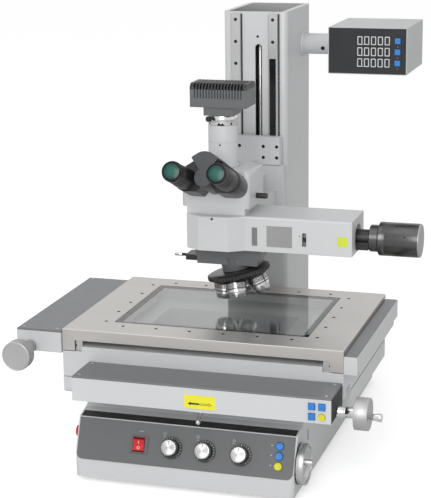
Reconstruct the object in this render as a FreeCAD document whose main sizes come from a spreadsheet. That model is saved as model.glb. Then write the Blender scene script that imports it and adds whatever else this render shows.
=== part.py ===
"""Measuring microscope with a cross stage, a trinocular head and a digital display.

Millimetres, +Z up, +X to the operator's right, -Y towards the operator. The origin is on the
bench under the optical axis. The stage, the head and the display stand where the photograph
shows them.
"""
import FreeCAD, Part
import math
import os
import Sketcher

V = FreeCAD.Vector

# Driving dimensions, one row for each size that can be set by itself.
DIMENSIONS = {
    # base
    "foot_height": 8.0,
    "foot_radius": 17.0,
    "foot_inset": 48.0,
    "base_half_width": 171.0,
    "base_front": -229.0,
    "base_depth": 581.0,
    "base_height": 98.5,
    "base_wall": 8.0,
    "base_edge_radius": 7.0,
    "lip_height": 27.0,
    "panel_lean": 25.0,
    "panel_rise": 61.0,
    "brow_depth": 28.0,
    "brow_rise": 6.5,
    "bottom_plate": 3.0,
    "pedestal_half_width": 150.0,
    "pedestal_front": -140.0,
    "pedestal_back": 115.0,
    "pedestal_height": 13.5,
    "condenser_bore": 42.0,
    "condenser_height": 52.0,
    # control panel, measured along its own slope from its lower edge
    "panel_inset": 2.5,
    "panel_margin": 1.5,
    "panel_sheet": 2.0,
    "panel_corner": 9.0,
    "panel_window": 22.0,
    "dial_height": 31.0,
    "dial_left": -19.0,
    "dial_middle": 33.0,
    "dial_right": 88.5,
    "dial_radius": 12.5,
    "dial_length": 15.0,
    "dial_ring": 16.6,
    "dial_shaft": 3.0,
    "rocker_across": -70.5,
    "rocker_width": 17.0,
    "rocker_height": 20.0,
    "rocker_frame": 5.0,
    "rocker_tilt": 7.0,
    "rocker_pin": 1.2,
    "panel_key_inset": 22.5,
    "panel_key_low": 19.9,
    "panel_key_pitch": 14.6,
    "panel_key_radius": 6.0,
    "panel_key_length": 9.0,
    "key_proud": 3.0,
    "stop_back": 29.0,
    "stop_height": 62.0,
    "stop_radius": 9.0,
    "stop_proud": 6.5,
    "stop_travel": 3.0,
    # column
    "column_inset": 6.0,
    "column_depth": 160.0,
    "column_half_width": 53.8,
    "column_top": 673.0,
    "column_wall": 10.0,
    "column_edge_radius": 9.0,
    "slot_across": 6.0,
    "slot_width": 11.3,
    "slot_bottom": 330.0,
    "slot_top": 620.0,
    "guide_across": 31.5,
    "guide_width": 16.5,
    "guide_thickness": 6.0,
    "guide_bottom": 296.0,
    "guide_top": 670.0,
    "z_screw_behind": 30.0,
    "z_screw_radius": 7.0,
    "z_screw_top": 652.0,
    # saddle and X rails
    "stage_left": -209.0,
    "stage_width": 440.0,
    "stage_front": -171.6,
    "stage_depth": 316.4,
    "saddle_height": 25.0,
    "saddle_nose": 0.6,
    "end_bar_width": 18.0,
    "end_bar_setback": 56.0,
    "end_bar_drop": 4.0,
    "table_gap": 1.0,
    "window_half_length": 110.0,
    "window_half_width": 50.0,
    "x_rail_front": -148.0,
    "x_rail_back": 110.0,
    "x_rail_width": 20.0,
    "x_rail_height": 12.0,
    "x_rail_clearance": 2.0,
    # middle carriage and Y rails
    "carriage_side_height": 40.5,
    "carriage_crown": 8.5,
    "y_rail_width": 11.0,
    "y_rail_height": 8.8,
    "y_rail_notch": 2.2,
    "runner_gap": 0.5,
    "strip_width": 20.2,
    "strip_height": 28.0,
    "strip_gap": 0.8,
    "ledge_height": 9.0,
    # stage plate
    "plate_thickness": 17.3,
    "skirt_width": 20.0,
    "skirt_drop": 16.5,
    "glass_half_length": 153.5,
    "glass_half_width": 109.5,
    "glass_centre_back": 5.4,
    "glass_thickness": 6.0,
    "glass_seat": 10.0,
    "glass_gap": 0.6,
    "glass_corner": 13.0,
    "fixture_row_pitch": 53.4,
    "fixture_row_back": 128.0,
    "fixture_column_pitch": 54.7,
    "fixture_column_across": 168.0,
    "fixture_hole_radius": 2.0,
    "fixture_hole_depth": 12.0,
    # drive boxes
    "box_wall": 2.5,
    "cover_thickness": 3.0,
    "x_box_left": -166.0,
    "x_box_length": 395.5,
    "x_box_depth": 71.4,
    "x_box_bottom": 134.3,
    "x_box_height": 38.7,
    "x_box_floor": 1.6,
    "y_box_width": 73.0,
    "y_box_front": -175.0,
    "y_box_length": 306.0,
    "y_box_below_screw": 7.7,
    "y_box_height": 35.4,
    "y_box_floor": 1.6,
    "y_box_foot_inset": 55.0,
    "screw_radius": 4.0,
    "nut_length": 20.0,
    "x_travel": 75.0,
    "y_travel_front": 65.0,
    "y_travel_back": 35.0,
    "box_key_size": 10.0,
    "box_key_left": 201.0,
    "box_key_pitch_across": 14.9,
    "box_key_top": 159.2,
    "box_key_pitch_down": 15.1,
    "box_key_length": 8.0,
    "lever_across": 32.0,
    "lever_length": 16.0,
    "lever_tilt": 38.0,
    # handwheels
    "x_wheel_radius": 24.0,
    "x_wheel_width": 20.5,
    "x_wheel_reach": 28.3,
    "x_wheel_height": 142.0,
    "x_wheel_back": -208.0,
    "hub_radius": 8.0,
    "crank_offset": 10.0,
    "crank_length": 19.0,
    "crank_radius": 6.2,
    "crank_pin": 2.2,
    "y_wheel_radius": 23.0,
    "y_wheel_width": 20.0,
    "y_wheel_reach": 37.0,
    "y_wheel_across": -260.5,
    "y_screw_below_plate": 13.3,
    "z_wheel_radius": 31.0,
    "z_wheel_width": 13.0,
    "z_wheel_back": -196.0,
    "z_wheel_height": 51.0,
    "z_shaft_radius": 6.0,
    "axle_bracket_across": 40.0,
    "lay_bracket_front": -155.0,
    "lay_bracket_setback": 66.0,
    "lay_bracket_width": 24.0,
    "bevel_radius": 14.0,
    "bevel_gap": 0.5,
    # head slide and arm
    "slide_plate_reach": 21.0,
    "slide_half_width": 47.5,
    "slide_bottom": 322.0,
    "slide_top": 470.0,
    "slide_gap": 0.5,
    "slide_pad_height": 46.0,
    "slide_pad_proud": 4.0,
    "slide_low_half_width": 53.2,
    "bracket_half_width": 42.0,
    "bracket_bottom": 333.0,
    "nut_arm_height": 16.0,
    "nut_arm_bottom": 392.0,
    "arm_left": -47.0,
    "arm_right": 215.0,
    "arm_front": -45.6,
    "arm_back": 39.4,
    "arm_bottom": 329.0,
    "arm_height": 55.0,
    "nose_proud": 14.4,
    "nose_half_width": 24.0,
    "aperture_across": 140.7,
    "aperture_height": 352.0,
    "lamp_back": -3.0,
    "lamp_height": 351.0,
    "lamp_radius": 26.0,
    "lamp_length": 64.0,
    "lamp_collar_radius": 12.5,
    "lamp_collar": 20.0,
    "lamp_shoulder": 14.0,
    "lamp_shoulder_radius": 20.8,
    # trinocular head
    "head_plate_half_width": 46.4,
    "head_plate_thickness": 11.0,
    "head_plate_back": 58.0,
    "head_half_width": 54.6,
    "head_front": -46.0,
    "head_back": 39.0,
    "head_height": 57.5,
    "head_edge_radius": 8.0,
    "view_tilt": 21.0,
    "hub_height": 430.5,
    "pivot_radius": 14.0,
    "pivot_gap": 0.4,
    "hump_height": 40.5,
    "hump_length": 66.0,
    "hump_half_width": 7.0,
    "hump_half_angle": 35.0,
    "hump_round": 20.0,
    "tube_across": 34.4,
    "lobe_radius": 18.0,
    "lobe_length": 42.0,
    "tube_radius": 17.6,
    "tube_length": 42.0,
    "eyepiece_radius": 16.0,
    "eyepiece_length": 30.5,
    "eyepiece_barrel_radius": 11.6,
    "eyepiece_barrel_length": 20.0,
    "phototube_radius": 23.0,
    "phototube_height": 65.1,
    "clamp_radius": 22.0,
    "clamp_height": 16.0,
    "camera_foot_half_width": 24.0,
    "camera_foot_height": 13.0,
    "camera_half_width": 45.0,
    "camera_half_depth": 26.5,
    "camera_height": 37.0,
    "camera_fin_pitch": 5.0,
    "camera_fin_gap": 2.0,
    "camera_fin_depth": 9.0,
    "path_knob_back": 41.0,
    "path_knob_height": 13.5,
    "path_knob_radius": 4.3,
    "path_knob_length": 17.0,
    # nosepiece
    "nose_block_left": -40.0,
    "nose_block_right": 66.0,
    "nose_block_front": -25.0,
    "nose_block_back": 45.0,
    "nose_block_height": 18.0,
    "slider_front": -19.0,
    "slider_width": 30.0,
    "slider_height": 9.0,
    "slider_length": 60.0,
    "slider_out": 18.0,
    "slider_rod": 24.0,
    "cone_apex": 384.0,
    "cone_angle": 13.0,
    "turret_depth": 98.0,
    "turret_radius": 50.0,
    "turret_thickness": 16.0,
    "turret_hub_radius": 24.0,
    "objective_radius": 16.5,
    "objective_thread_length": 8.0,
    "objective_tip": 144.0,
    # display
    "display_left": 146.5,
    "display_width": 123.5,
    "display_case_reach": 160.0,
    "display_depth": 141.0,
    "display_drop": 21.0,
    "display_height": 72.5,
    "display_wall": 2.5,
    "display_tube_radius": 17.5,
    "display_tube_behind": 110.0,
    "display_tube_below_top": 63.0,
    "display_pivot_across": 209.0,
    "display_fork_reach": 53.0,
    "display_pivot_radius": 6.0,
    "fork_half_width": 12.0,
    "fork_half_height": 18.0,
    "fork_gap": 0.5,
    "lug_height": 12.0,
    "display_key_size": 9.0,
    "display_key_inset": 19.0,
    "display_key_pitch": 17.0,
    "display_key_rise": 14.0,
    "display_rim": 1.2,
    # general
    "running_fit": 0.05,
    "clearance": 0.4,
    "key_gap": 0.4,
}

doc = FreeCAD.newDocument("MeasuringMicroscope")
sheet = doc.addObject("Spreadsheet::Sheet", "Sizes")
for row, (alias, number) in enumerate(DIMENSIONS.items(), start=1):
    sheet.set("A%d" % row, alias)
    sheet.set("B%d" % row, str(number))
    sheet.setAlias("B%d" % row, alias)
doc.recompute()


class Size:
    """A length that keeps both its sheet formula and its number."""

    def __init__(self, formula, number):
        self.formula = formula
        self.number = float(number)

    def joined(self, other, sign, number, other_first=False):
        text = other.formula if isinstance(other, Size) else repr(float(other))
        first, second = (text, self.formula) if other_first else (self.formula, text)
        return Size("(%s %s %s)" % (first, sign, second), number)

    def __add__(self, other):
        return self.joined(other, "+", self.number + float(other))

    def __radd__(self, other):
        return self.joined(other, "+", float(other) + self.number, True)

    def __sub__(self, other):
        return self.joined(other, "-", self.number - float(other))

    def __rsub__(self, other):
        return self.joined(other, "-", float(other) - self.number, True)

    def __mul__(self, other):
        return self.joined(other, "*", self.number * float(other))

    def __rmul__(self, other):
        return self.joined(other, "*", float(other) * self.number, True)

    def __truediv__(self, other):
        return self.joined(other, "/", self.number / float(other))

    def __neg__(self):
        return self * -1

    def __float__(self):
        return self.number


class Sheet:
    """The sheet's rows as attributes."""

    def __getattr__(self, alias):
        return Size("Sizes." + alias, sheet.get(alias))


S = Sheet()
pieces = {}
turns = {
    "z": FreeCAD.Rotation(),
    "x": FreeCAD.Rotation(V(0, 1, 0), 90),
    "y": FreeCAD.Rotation(V(1, 0, 0), -90),
    "-x": FreeCAD.Rotation(V(0, 1, 0), -90),
    "-y": FreeCAD.Rotation(V(1, 0, 0), 90),
}


def bind(item, prop, value):
    """Set a property from a Size, bound to the sheet, or from a plain number."""
    if isinstance(value, Size):
        item.setExpression(prop, value.formula)


def place(item, at, rotation=None):
    """Put an object at a point whose coordinates are Sizes or numbers."""
    item.Placement = FreeCAD.Placement(V(*(float(c) for c in at)), rotation or FreeCAD.Rotation())
    for axis, value in zip("xyz", at):
        bind(item, "Placement.Base." + axis, value)
    return item


def add(kind):
    """A new object of the document."""
    return doc.addObject(kind, kind.split("::")[1])


def block(x0, x1, y0, y1, z0, z1):
    """A box between two opposite corners."""
    item = add("Part::Box")
    for prop, low, high in (("Length", x0, x1), ("Width", y0, y1), ("Height", z0, z1)):
        setattr(item, prop, float(high) - float(low))
        bind(item, prop, high - low)
    return place(item, (x0, y0, z0))


def rod(radius, length, at, along="z"):
    """A cylinder that starts at a point and runs along an axis."""
    item = add("Part::Cylinder")
    item.Radius = float(radius)
    bind(item, "Radius", radius)
    item.Height = float(length)
    bind(item, "Height", length)
    return place(item, at, turns[along])


def cut(base, *tools):
    """The base without its tools."""
    item = add("Part::Cut")
    item.Base = base
    item.Tool = tools[0] if len(tools) == 1 else joined(*tools)
    return item


def joined(*parts):
    """Parts fused into one solid where they meet."""
    item = add("Part::MultiFuse")
    item.Shapes = list(parts)
    item.Refine = True
    return item


def group(*parts):
    """Separate solids kept as one sub-part."""
    item = add("Part::Compound")
    item.Links = list(parts)
    return item


def common(base, tool):
    """What the base and the tool share."""
    item = add("Part::Common")
    item.Base = base
    item.Tool = tool
    return item


def eased(base, radius, keep, kind="Part::Fillet"):
    """The base with its chosen edges rounded or chamfered; keep picks an edge from its two ends."""
    doc.recompute()
    item = add(kind)
    item.Base = base
    size = float(radius)
    picked = []
    for index, edge in enumerate(base.Shape.Edges, start=1):
        if len(edge.Vertexes) == 2 and keep(edge.Vertexes[0].Point, edge.Vertexes[1].Point):
            picked.append((index, size, size))
    item.Edges = picked
    return item


def runs_along(axis):
    """A test for edges that run along one axis."""
    index = "xyz".index(axis)

    def test(start, end):
        difference = end - start
        return abs(difference[index]) > 0.999 * difference.Length
    return test


def sketch_loop(body, plane, points):
    """A closed outline on one of a body's own planes, each point held by the sheet."""
    sketch = body.newObject("Sketcher::SketchObject", "Outline")
    face = [item for item in body.Origin.OriginFeatures if item.Role == plane][0]
    sketch.AttachmentSupport = [(face, "")]
    sketch.MapMode = "FlatFace"
    corners = [V(float(a), float(b), 0) for a, b in points]
    count = len(corners)
    for index in range(count):
        sketch.addGeometry(Part.LineSegment(corners[index], corners[(index + 1) % count]), False)
    for index in range(count):
        sketch.addConstraint(Sketcher.Constraint("Coincident", index, 2, (index + 1) % count, 1))
    for index, point in enumerate(points):
        for kind, axis_line, value in (("DistanceX", -2, point[0]), ("DistanceY", -1, point[1])):
            if abs(float(value)) < 1e-9:
                sketch.addConstraint(Sketcher.Constraint("PointOnObject", index, 1, axis_line))
                continue
            number = sketch.addConstraint(Sketcher.Constraint(kind, -1, 1, index, 1, float(value)))
            bind(sketch, "Constraints[%d]" % number, value)
    return sketch


def turned(profile, at=(0, 0, 0), along="z"):
    """A turned piece: a half section of (radius, height) points spun about its height axis."""
    body = add("PartDesign::Body")
    sketch = sketch_loop(body, "XZ_Plane", profile)
    spin = body.newObject("PartDesign::Revolution", "Spin")
    spin.Profile = sketch
    spin.ReferenceAxis = (sketch, ["V_Axis"])
    spin.Angle = 360
    return place(body, at, turns[along])


def extruded(outline, length, at=(0, 0, 0), plane="XY_Plane"):
    """A straight piece of the same outline all along."""
    body = add("PartDesign::Body")
    sketch = sketch_loop(body, plane, outline)
    pad = body.newObject("PartDesign::Pad", "Straight")
    pad.Profile = sketch
    pad.Length = float(length)
    bind(pad, "Length", length)
    pad.Reversed = plane == "XZ_Plane"
    return place(body, at)


def moved(item, placement):
    """A plain copy of an object's shape, put somewhere else."""
    doc.recompute()
    shape = item.Shape.copy()
    shape.transformShape(placement.toMatrix())
    feature = add("Part::Feature")
    feature.Shape = shape
    return feature


def piece(name, item):
    """Give a finished sub-part its name."""
    item.Label = name
    pieces[name] = item
    return item


# Heights and places that several pieces share.
base_bottom = S.foot_height
base_back = S.base_front + S.base_depth
base_top = base_bottom + S.base_height
pedestal_top = base_top + S.pedestal_height
saddle_top = pedestal_top + S.saddle_height
table_bottom = saddle_top + S.table_gap
table_side_top = table_bottom + S.carriage_side_height
table_top = table_side_top + S.carriage_crown
plate_bottom = table_top + S.y_rail_height + S.runner_gap
plate_top = plate_bottom + S.plate_thickness
panel_half_width = S.base_half_width - S.panel_inset
panel_key_across = panel_half_width - S.panel_key_inset
stage_right = S.stage_left + S.stage_width
stage_back = S.stage_front + S.stage_depth
stage_centre = S.stage_left + S.stage_width / 2
window_centre = S.stage_front + S.stage_depth / 2 + S.glass_centre_back
skirt_left = S.stage_left + S.skirt_width
skirt_right = stage_right - S.skirt_width
x_box_right = S.x_box_left + S.x_box_length
x_box_front = S.stage_front - S.saddle_nose - S.x_box_depth
x_box_back = S.stage_front - S.saddle_nose
x_box_top = S.x_box_bottom + S.x_box_height
y_box_right = S.stage_left - S.strip_gap
y_box_left = y_box_right - S.y_box_width
y_box_back = S.y_box_front + S.y_box_length
y_wheel_height = plate_bottom - S.y_screw_below_plate
y_box_bottom = y_wheel_height - S.y_box_below_screw
y_box_top = y_box_bottom + S.y_box_height
column_back = base_back - S.column_inset
column_front = column_back - S.column_depth
column_inside = column_front + S.column_wall
z_screw_back = column_front + S.z_screw_behind
lay_bracket_back = z_screw_back - S.lay_bracket_setback
guide_front = column_front - S.guide_thickness
slide_front = column_front - S.slide_plate_reach
display_tube_back = column_front + S.display_tube_behind
display_tube_height = S.column_top - S.display_tube_below_top
display_pivot_back = display_tube_back - S.display_fork_reach
display_front = display_pivot_back - S.display_case_reach
display_bottom = display_tube_height - S.display_drop
slide_back = guide_front - S.slide_gap
arm_top = S.arm_bottom + S.arm_height
head_bottom = arm_top + S.head_plate_thickness
head_top = head_bottom + S.head_height
nose_block_bottom = S.arm_bottom - S.nose_block_height
x_nut_across = stage_centre
y_nut_back = window_centre - S.glass_centre_back

panel_angle = math.degrees(math.atan2(float(S.panel_lean), float(S.panel_rise)))
panel_length = math.hypot(float(S.panel_lean), float(S.panel_rise))
panel_turn = FreeCAD.Rotation(V(1, 0, 0), 90 - panel_angle)
panel_place = FreeCAD.Placement(
    V(0, float(S.base_front), float(base_bottom + S.lip_height)), panel_turn)

view_turn = FreeCAD.Rotation(V(1, 0, 0), 90 - float(S.view_tilt))
view_place = FreeCAD.Placement(V(0, float(S.head_front), float(S.hub_height)), view_turn)
turret_place = FreeCAD.Placement(
    V(0, 0, float(S.cone_apex)), FreeCAD.Rotation(V(0, 1, 0), -float(S.cone_angle)))


def base_outline(wall, low):
    """The base from the side: lip, leaning panel, brow, flat top; wall sets it in all round."""
    front = S.base_front + wall
    top = base_top - wall
    brow = base_bottom + S.lip_height + S.panel_rise - wall
    return (
        (front, low),
        (front, base_bottom + S.lip_height),
        (front + S.panel_lean, brow),
        (front + S.panel_lean + S.brow_depth, brow + S.brow_rise),
        (front + S.panel_lean + S.brow_depth + 6, top),
        (base_back - wall, top),
        (base_back - wall, low),
    )


def base():
    """The cast base, its pedestal, sheet-metal floor, feet, lamp condenser and front panel."""
    half = S.base_half_width
    inner = half - S.base_wall
    shell = extruded(base_outline(0.0, base_bottom), 2 * half, (-half, 0, 0), "YZ_Plane")
    shell = eased(shell, S.base_edge_radius, runs_along("z"))
    hollow = extruded(base_outline(S.base_wall, base_bottom - 1), 2 * inner, (-inner, 0, 0), "YZ_Plane")
    window = panel_piece(block(
        -panel_half_width + S.panel_window, panel_half_width - S.panel_window / 2,
        6.0, panel_length - 6, -2 * S.base_wall, 1.0))
    bore = rod(S.condenser_bore, S.base_height + S.pedestal_height, (0, 0, base_bottom))
    pedestal = block(-S.pedestal_half_width, S.pedestal_half_width, S.pedestal_front,
                     S.pedestal_back, base_top - S.base_wall / 2, pedestal_top)
    column_way = block(-S.column_half_width + S.column_wall, S.column_half_width - S.column_wall,
                       column_inside, column_back - S.column_wall,
                       base_top - S.base_wall - 1, base_top + 1)
    stop_bore = rod(S.stop_radius - 2 + S.key_gap, S.base_wall * 2 + S.stop_travel + 1,
                    (-half - S.base_wall / 2, S.base_front + S.stop_back,
                     base_bottom + S.stop_height), "x")
    casting = cut(joined(cut(shell, hollow), pedestal), window, bore, column_way, stop_bore)
    piece("base_casting", cut(joined(casting, *shaft_brackets()), *shaft_bores()))

    inset = S.base_wall + S.clearance
    piece("base_floor", block(-half + inset, half - inset, S.base_front + inset, base_back - inset,
                              base_bottom, base_bottom + S.bottom_plate))
    feet = []
    for across in (-half + S.foot_inset, half - S.foot_inset):
        for back in (S.base_front + S.foot_inset, base_back - S.foot_inset):
            feet.append(turned(((0, 0), (S.foot_radius - 2, 0), (S.foot_radius, 2),
                                (S.foot_radius, S.foot_height - 1), (S.foot_radius - 3, S.foot_height),
                                (0, S.foot_height)), (across, back, 0)))
    piece("levelling_feet", group(*feet))
    piece("lamp_condenser", turned((
        (0, 0), (S.condenser_bore - 12, 0), (S.condenser_bore - 12, S.condenser_height - 18),
        (S.condenser_bore - S.clearance, S.condenser_height - 12),
        (S.condenser_bore - S.clearance, S.condenser_height),
        (S.condenser_bore - 8, S.condenser_height), (S.condenser_bore - 10, S.condenser_height - 3),
        (0, S.condenser_height - 3)), (0, 0, pedestal_top - 3 - S.condenser_height)))
    piece("control_panel", control_panel())


def shaft_brackets():
    """What carries the Z drive in the base: a wall boss and three hanging brackets."""
    boss_length = S.base_wall + 4
    roof = base_top - S.base_wall / 2
    low = S.z_wheel_height - S.z_shaft_radius - 5
    thick = 8.0
    boss = rod(S.z_shaft_radius + 6, boss_length,
               (S.base_half_width - boss_length, S.z_wheel_back, S.z_wheel_height), "x")
    axle_bracket = block(S.axle_bracket_across, S.axle_bracket_across + thick,
                         S.z_wheel_back - 10, S.z_wheel_back + 24, low, base_top - S.base_wall - 7)
    brackets = [boss, axle_bracket]
    for back in (S.lay_bracket_front, lay_bracket_back):
        brackets.append(block(-S.lay_bracket_width / 2, S.lay_bracket_width / 2, back, back + thick,
                              low, roof))
    return brackets


def shaft_bores():
    """The two lines of bores for the handwheel axle and the lay shaft."""
    radius = S.z_shaft_radius + S.running_fit
    axle = rod(radius, S.base_half_width - S.axle_bracket_across + 4,
               (S.axle_bracket_across - 2, S.z_wheel_back, S.z_wheel_height), "x")
    lay = rod(radius, lay_bracket_back - S.lay_bracket_front + 12,
              (0, S.lay_bracket_front - 2, S.z_wheel_height), "y")
    return [axle, lay]


def panel_piece(item, across=0.0, up=0.0):
    """Lay a piece that was made flat (across, up, out) on the leaning panel."""
    shift = FreeCAD.Placement(V(float(across), float(up), 0), FreeCAD.Rotation())
    return moved(item, panel_place.multiply(shift))


def control_panel():
    """The front panel: a sheet with rounded lower corners, its holes and the rocker's pin."""
    half = panel_half_width
    sheet_metal = block(-half, half, S.panel_margin, panel_length - S.panel_margin,
                        0.0, S.panel_sheet)
    low = float(S.panel_margin) + 1
    sheet_metal = eased(sheet_metal, S.panel_corner,
                        lambda a, b: runs_along("z")(a, b) and max(a.y, b.y) < low)
    holes = [rod(S.dial_shaft + S.running_fit, S.panel_sheet * 3,
                 (across, S.dial_height, -S.panel_sheet))
             for across in (S.dial_left, S.dial_middle, S.dial_right)]
    for step in range(3):
        holes.append(rod(S.panel_key_radius + S.key_gap, S.panel_sheet * 3,
                         (panel_key_across, S.panel_key_low + step * S.panel_key_pitch,
                          -S.panel_sheet)))
    wide = S.rocker_width / 2 + S.key_gap
    high = S.rocker_height / 2 + S.key_gap
    holes.append(block(S.rocker_across - wide, S.rocker_across + wide, S.dial_height - high,
                       S.dial_height + high, -S.panel_sheet, S.panel_sheet * 4))
    frame = block(S.rocker_across - wide - S.rocker_frame, S.rocker_across + wide + S.rocker_frame,
                  S.dial_height - high - S.rocker_frame / 2, S.dial_height + high + S.rocker_frame / 2,
                  S.panel_sheet / 2, S.panel_sheet + 2)
    rings = [rod(S.dial_ring, S.panel_sheet / 2 + 1.5, (across, S.dial_height, S.panel_sheet / 2))
             for across in (S.dial_left, S.dial_middle, S.dial_right)]
    pin = rod(S.rocker_pin, 2 * wide + 2, (S.rocker_across - wide - 1, S.dial_height, 0), "x")
    return panel_piece(joined(cut(joined(sheet_metal, frame, *rings), *holes), pin))


def panel_controls():
    """Three dimmer dials, the mains rocker, three lamp keys and the stop button on the left side."""
    lift = S.panel_sheet + 1.5 + S.clearance
    dial = turned((
        (0, -12), (S.dial_shaft, -12), (S.dial_shaft, lift), (S.dial_radius - 1, lift),
        (S.dial_radius, lift + 2), (S.dial_radius - 0.8, lift + S.dial_length - 1.5),
        (S.dial_radius - 2.3, lift + S.dial_length), (0, lift + S.dial_length)))
    for name, across in (("transmitted_dial", S.dial_left), ("incident_dial", S.dial_middle),
                         ("ring_dial", S.dial_right)):
        piece(name, panel_piece(dial, across, S.dial_height))
    half = S.rocker_width / 2
    high = S.rocker_height / 2
    rocker = extruded((
        (0.8 - high, -5), (-high, 0), (0.5 - high, 3), (2 - high, 6), (0, 4.6), (high - 2, 6),
        (high - 0.5, 3), (high, 0), (high - 0.8, -5)), 2 * half, (-half, 0, 0), "YZ_Plane")
    rocker = cut(rocker, rod(S.rocker_pin + S.running_fit, 2 * half + 2, (-half - 1, 0, 0), "x"))
    pressed = FreeCAD.Placement(V(0, 0, 0), FreeCAD.Rotation(V(1, 0, 0), S.rocker_tilt.number))
    piece("mains_rocker", panel_piece(moved(rocker, pressed), S.rocker_across, S.dial_height))
    key = turned((
        (0, 0), (S.panel_key_radius, 0), (S.panel_key_radius, S.panel_key_length - 1),
        (S.panel_key_radius - 1, S.panel_key_length), (0, S.panel_key_length)),
        (0, 0, S.panel_sheet + S.key_proud - S.panel_key_length))
    for step, name in enumerate(("yellow_lamp_key", "blue_lamp_key_low", "blue_lamp_key_top")):
        piece(name, panel_piece(key, panel_key_across, S.panel_key_low + step * S.panel_key_pitch))
    piece("stop_button", turned((
        (0, 0), (S.stop_radius - 2, 0), (S.stop_radius - 2, 14), (S.stop_radius, 14),
        (S.stop_radius, 15), (S.stop_radius - 1.5, 17), (0, 17)),
        (-S.base_half_width - S.stop_proud + 17, S.base_front + S.stop_back,
         base_bottom + S.stop_height), "-x"))


def column():
    """The hollow column with its head slot, the two steel guide strips and the display arm."""
    half = S.column_half_width
    outer = block(-half, half, column_front, column_back, base_top, S.column_top)
    outer = eased(outer, S.column_edge_radius, runs_along("z"))
    inner = block(-half + S.column_wall, half - S.column_wall, column_inside,
                  column_back - S.column_wall, base_top - 1, S.column_top - S.column_wall)
    slot = joined(
        block(S.slot_across - S.slot_width / 2, S.slot_across + S.slot_width / 2, column_front - 1,
              column_inside + 1, S.slot_bottom, S.slot_top - S.slot_width / 2),
        rod(S.slot_width / 2, S.column_wall + 2,
            (S.slot_across, column_front - 1, S.slot_top - S.slot_width / 2), "y"))
    tube_seat = rod(S.display_tube_radius, S.column_wall + 2,
                    (half - S.column_wall - 1, display_tube_back, display_tube_height), "x")
    top_bearing = cut(
        block(-half + S.column_wall - 1, half - S.column_wall + 1, column_inside - 1,
              z_screw_back + 14, S.z_screw_top - 12, S.z_screw_top - 2),
        rod(S.z_screw_radius - 2 + S.running_fit, 14, (0, z_screw_back, S.z_screw_top - 13)))
    low_bearing = cut(
        block(-half + S.column_wall - 1, half - S.column_wall + 1, column_inside - 1,
              z_screw_back + 14, base_top + 2, base_top + 12),
        rod(S.z_screw_radius - 2 + S.running_fit, 14, (0, z_screw_back, base_top + 1)))
    piece("column", joined(cut(outer, inner, slot, tube_seat), top_bearing, low_bearing))

    strips = []
    for across in (-S.guide_across, S.guide_across):
        strip = block(across - S.guide_width / 2, across + S.guide_width / 2, guide_front,
                      column_front, S.guide_bottom, S.guide_top)
        strips.append(eased(strip, 1.0, lambda a, b: runs_along("z")(a, b)
                            and max(a.y, b.y) < float(guide_front) + 1, "Part::Chamfer"))
    piece("z_guide_strips", group(*strips))
    piece("display_arm", display_arm())


def display_arm():
    """The tube out of the column's side and the fork that holds the display's pivot pin."""
    seat = S.column_half_width - S.column_wall + 1
    half = S.fork_half_width
    high = S.fork_half_height
    left = S.display_pivot_across - half
    right = S.display_pivot_across + half
    web_front = display_pivot_back + half + 2
    pipe = rod(S.display_tube_radius, right + half - seat, (seat, display_tube_back,
                                                          display_tube_height), "x")
    web = block(left, right, web_front, display_tube_back, display_tube_height - high,
                display_tube_height + high)
    gap = S.lug_height / 2 + S.fork_gap
    ears = [block(left, right, display_pivot_back - half + 2, web_front + 1, low, low + high - gap)
            for low in (display_tube_height - high, display_tube_height + gap)]
    pin = rod(S.display_pivot_radius, high * 2 + 6,
              (S.display_pivot_across, display_pivot_back, display_tube_height - high - 3))
    return joined(pipe, web, pin, *ears)


def display():
    """The display housing with its hinge lug, and its three keys."""
    right = S.display_left + S.display_width
    back = display_front + S.display_depth
    top = display_bottom + S.display_height
    case = block(S.display_left, right, display_front, back, display_bottom, top)
    case = eased(case, 1.5, runs_along("y"))
    wall = S.display_wall
    inside = block(S.display_left + wall, right - wall, display_front + 6, back - wall,
                   display_bottom + wall, top - wall)
    rim = S.display_rim
    recess = block(S.display_left + rim, right - rim, display_front - 1, display_front + 1,
                   display_bottom + rim, top - rim)
    half = S.fork_half_width
    low = display_tube_height - S.lug_height / 2
    lug = joined(
        block(S.display_pivot_across - half, S.display_pivot_across + half, back - 1,
              display_pivot_back, low, low + S.lug_height),
        rod(half, S.lug_height, (S.display_pivot_across, display_pivot_back, low)))
    bore = rod(S.display_pivot_radius + S.running_fit, S.lug_height + 4,
               (S.display_pivot_across, display_pivot_back, low - 2))
    size = S.display_key_size
    key_left = right - S.display_key_inset
    holes = []
    names = ("display_key_low", "display_key_middle", "display_key_top")
    for step, name in enumerate(names):
        low = display_bottom + S.display_key_rise + step * S.display_key_pitch
        holes.append(block(key_left - S.key_gap, key_left + size + S.key_gap, display_front,
                           display_front + 8, low - S.key_gap, low + size + S.key_gap))
        piece(name, block(key_left, key_left + size, display_front - 0.5, display_front + 7,
                          low, low + size))
    piece("display_case", joined(cut(case, inside, recess, *holes), cut(lug, bore)))


def saddle():
    """The fixed saddle under the stage with its end bar and its two X ways."""
    body = block(S.stage_left, stage_right - S.end_bar_width, x_box_back, stage_back,
                 pedestal_top, saddle_top)
    body = eased(body, 5.0, lambda a, b: runs_along("x")(a, b) and max(a.z, b.z) < float(saddle_top)
                 or runs_along("y")(a, b) and max(a.z, b.z) < float(saddle_top)
                 and max(a.x, b.x) < 0)
    bar = block(stage_right - S.end_bar_width - 1, stage_right, S.stage_front + S.end_bar_setback,
                stage_back, pedestal_top - S.end_bar_drop, saddle_top - 1)
    window = block(-S.window_half_length, S.window_half_length, -S.window_half_width,
                   S.window_half_width, pedestal_top - 1, saddle_top + 1)
    rails = []
    for front in (S.x_rail_front, S.x_rail_back):
        rails.append(block(S.stage_left + 6, stage_right - S.end_bar_width - 1, front,
                           front + S.x_rail_width, saddle_top - 1, saddle_top + S.x_rail_height))
    piece("x_saddle", cut(joined(body, bar, *rails), window))


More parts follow.
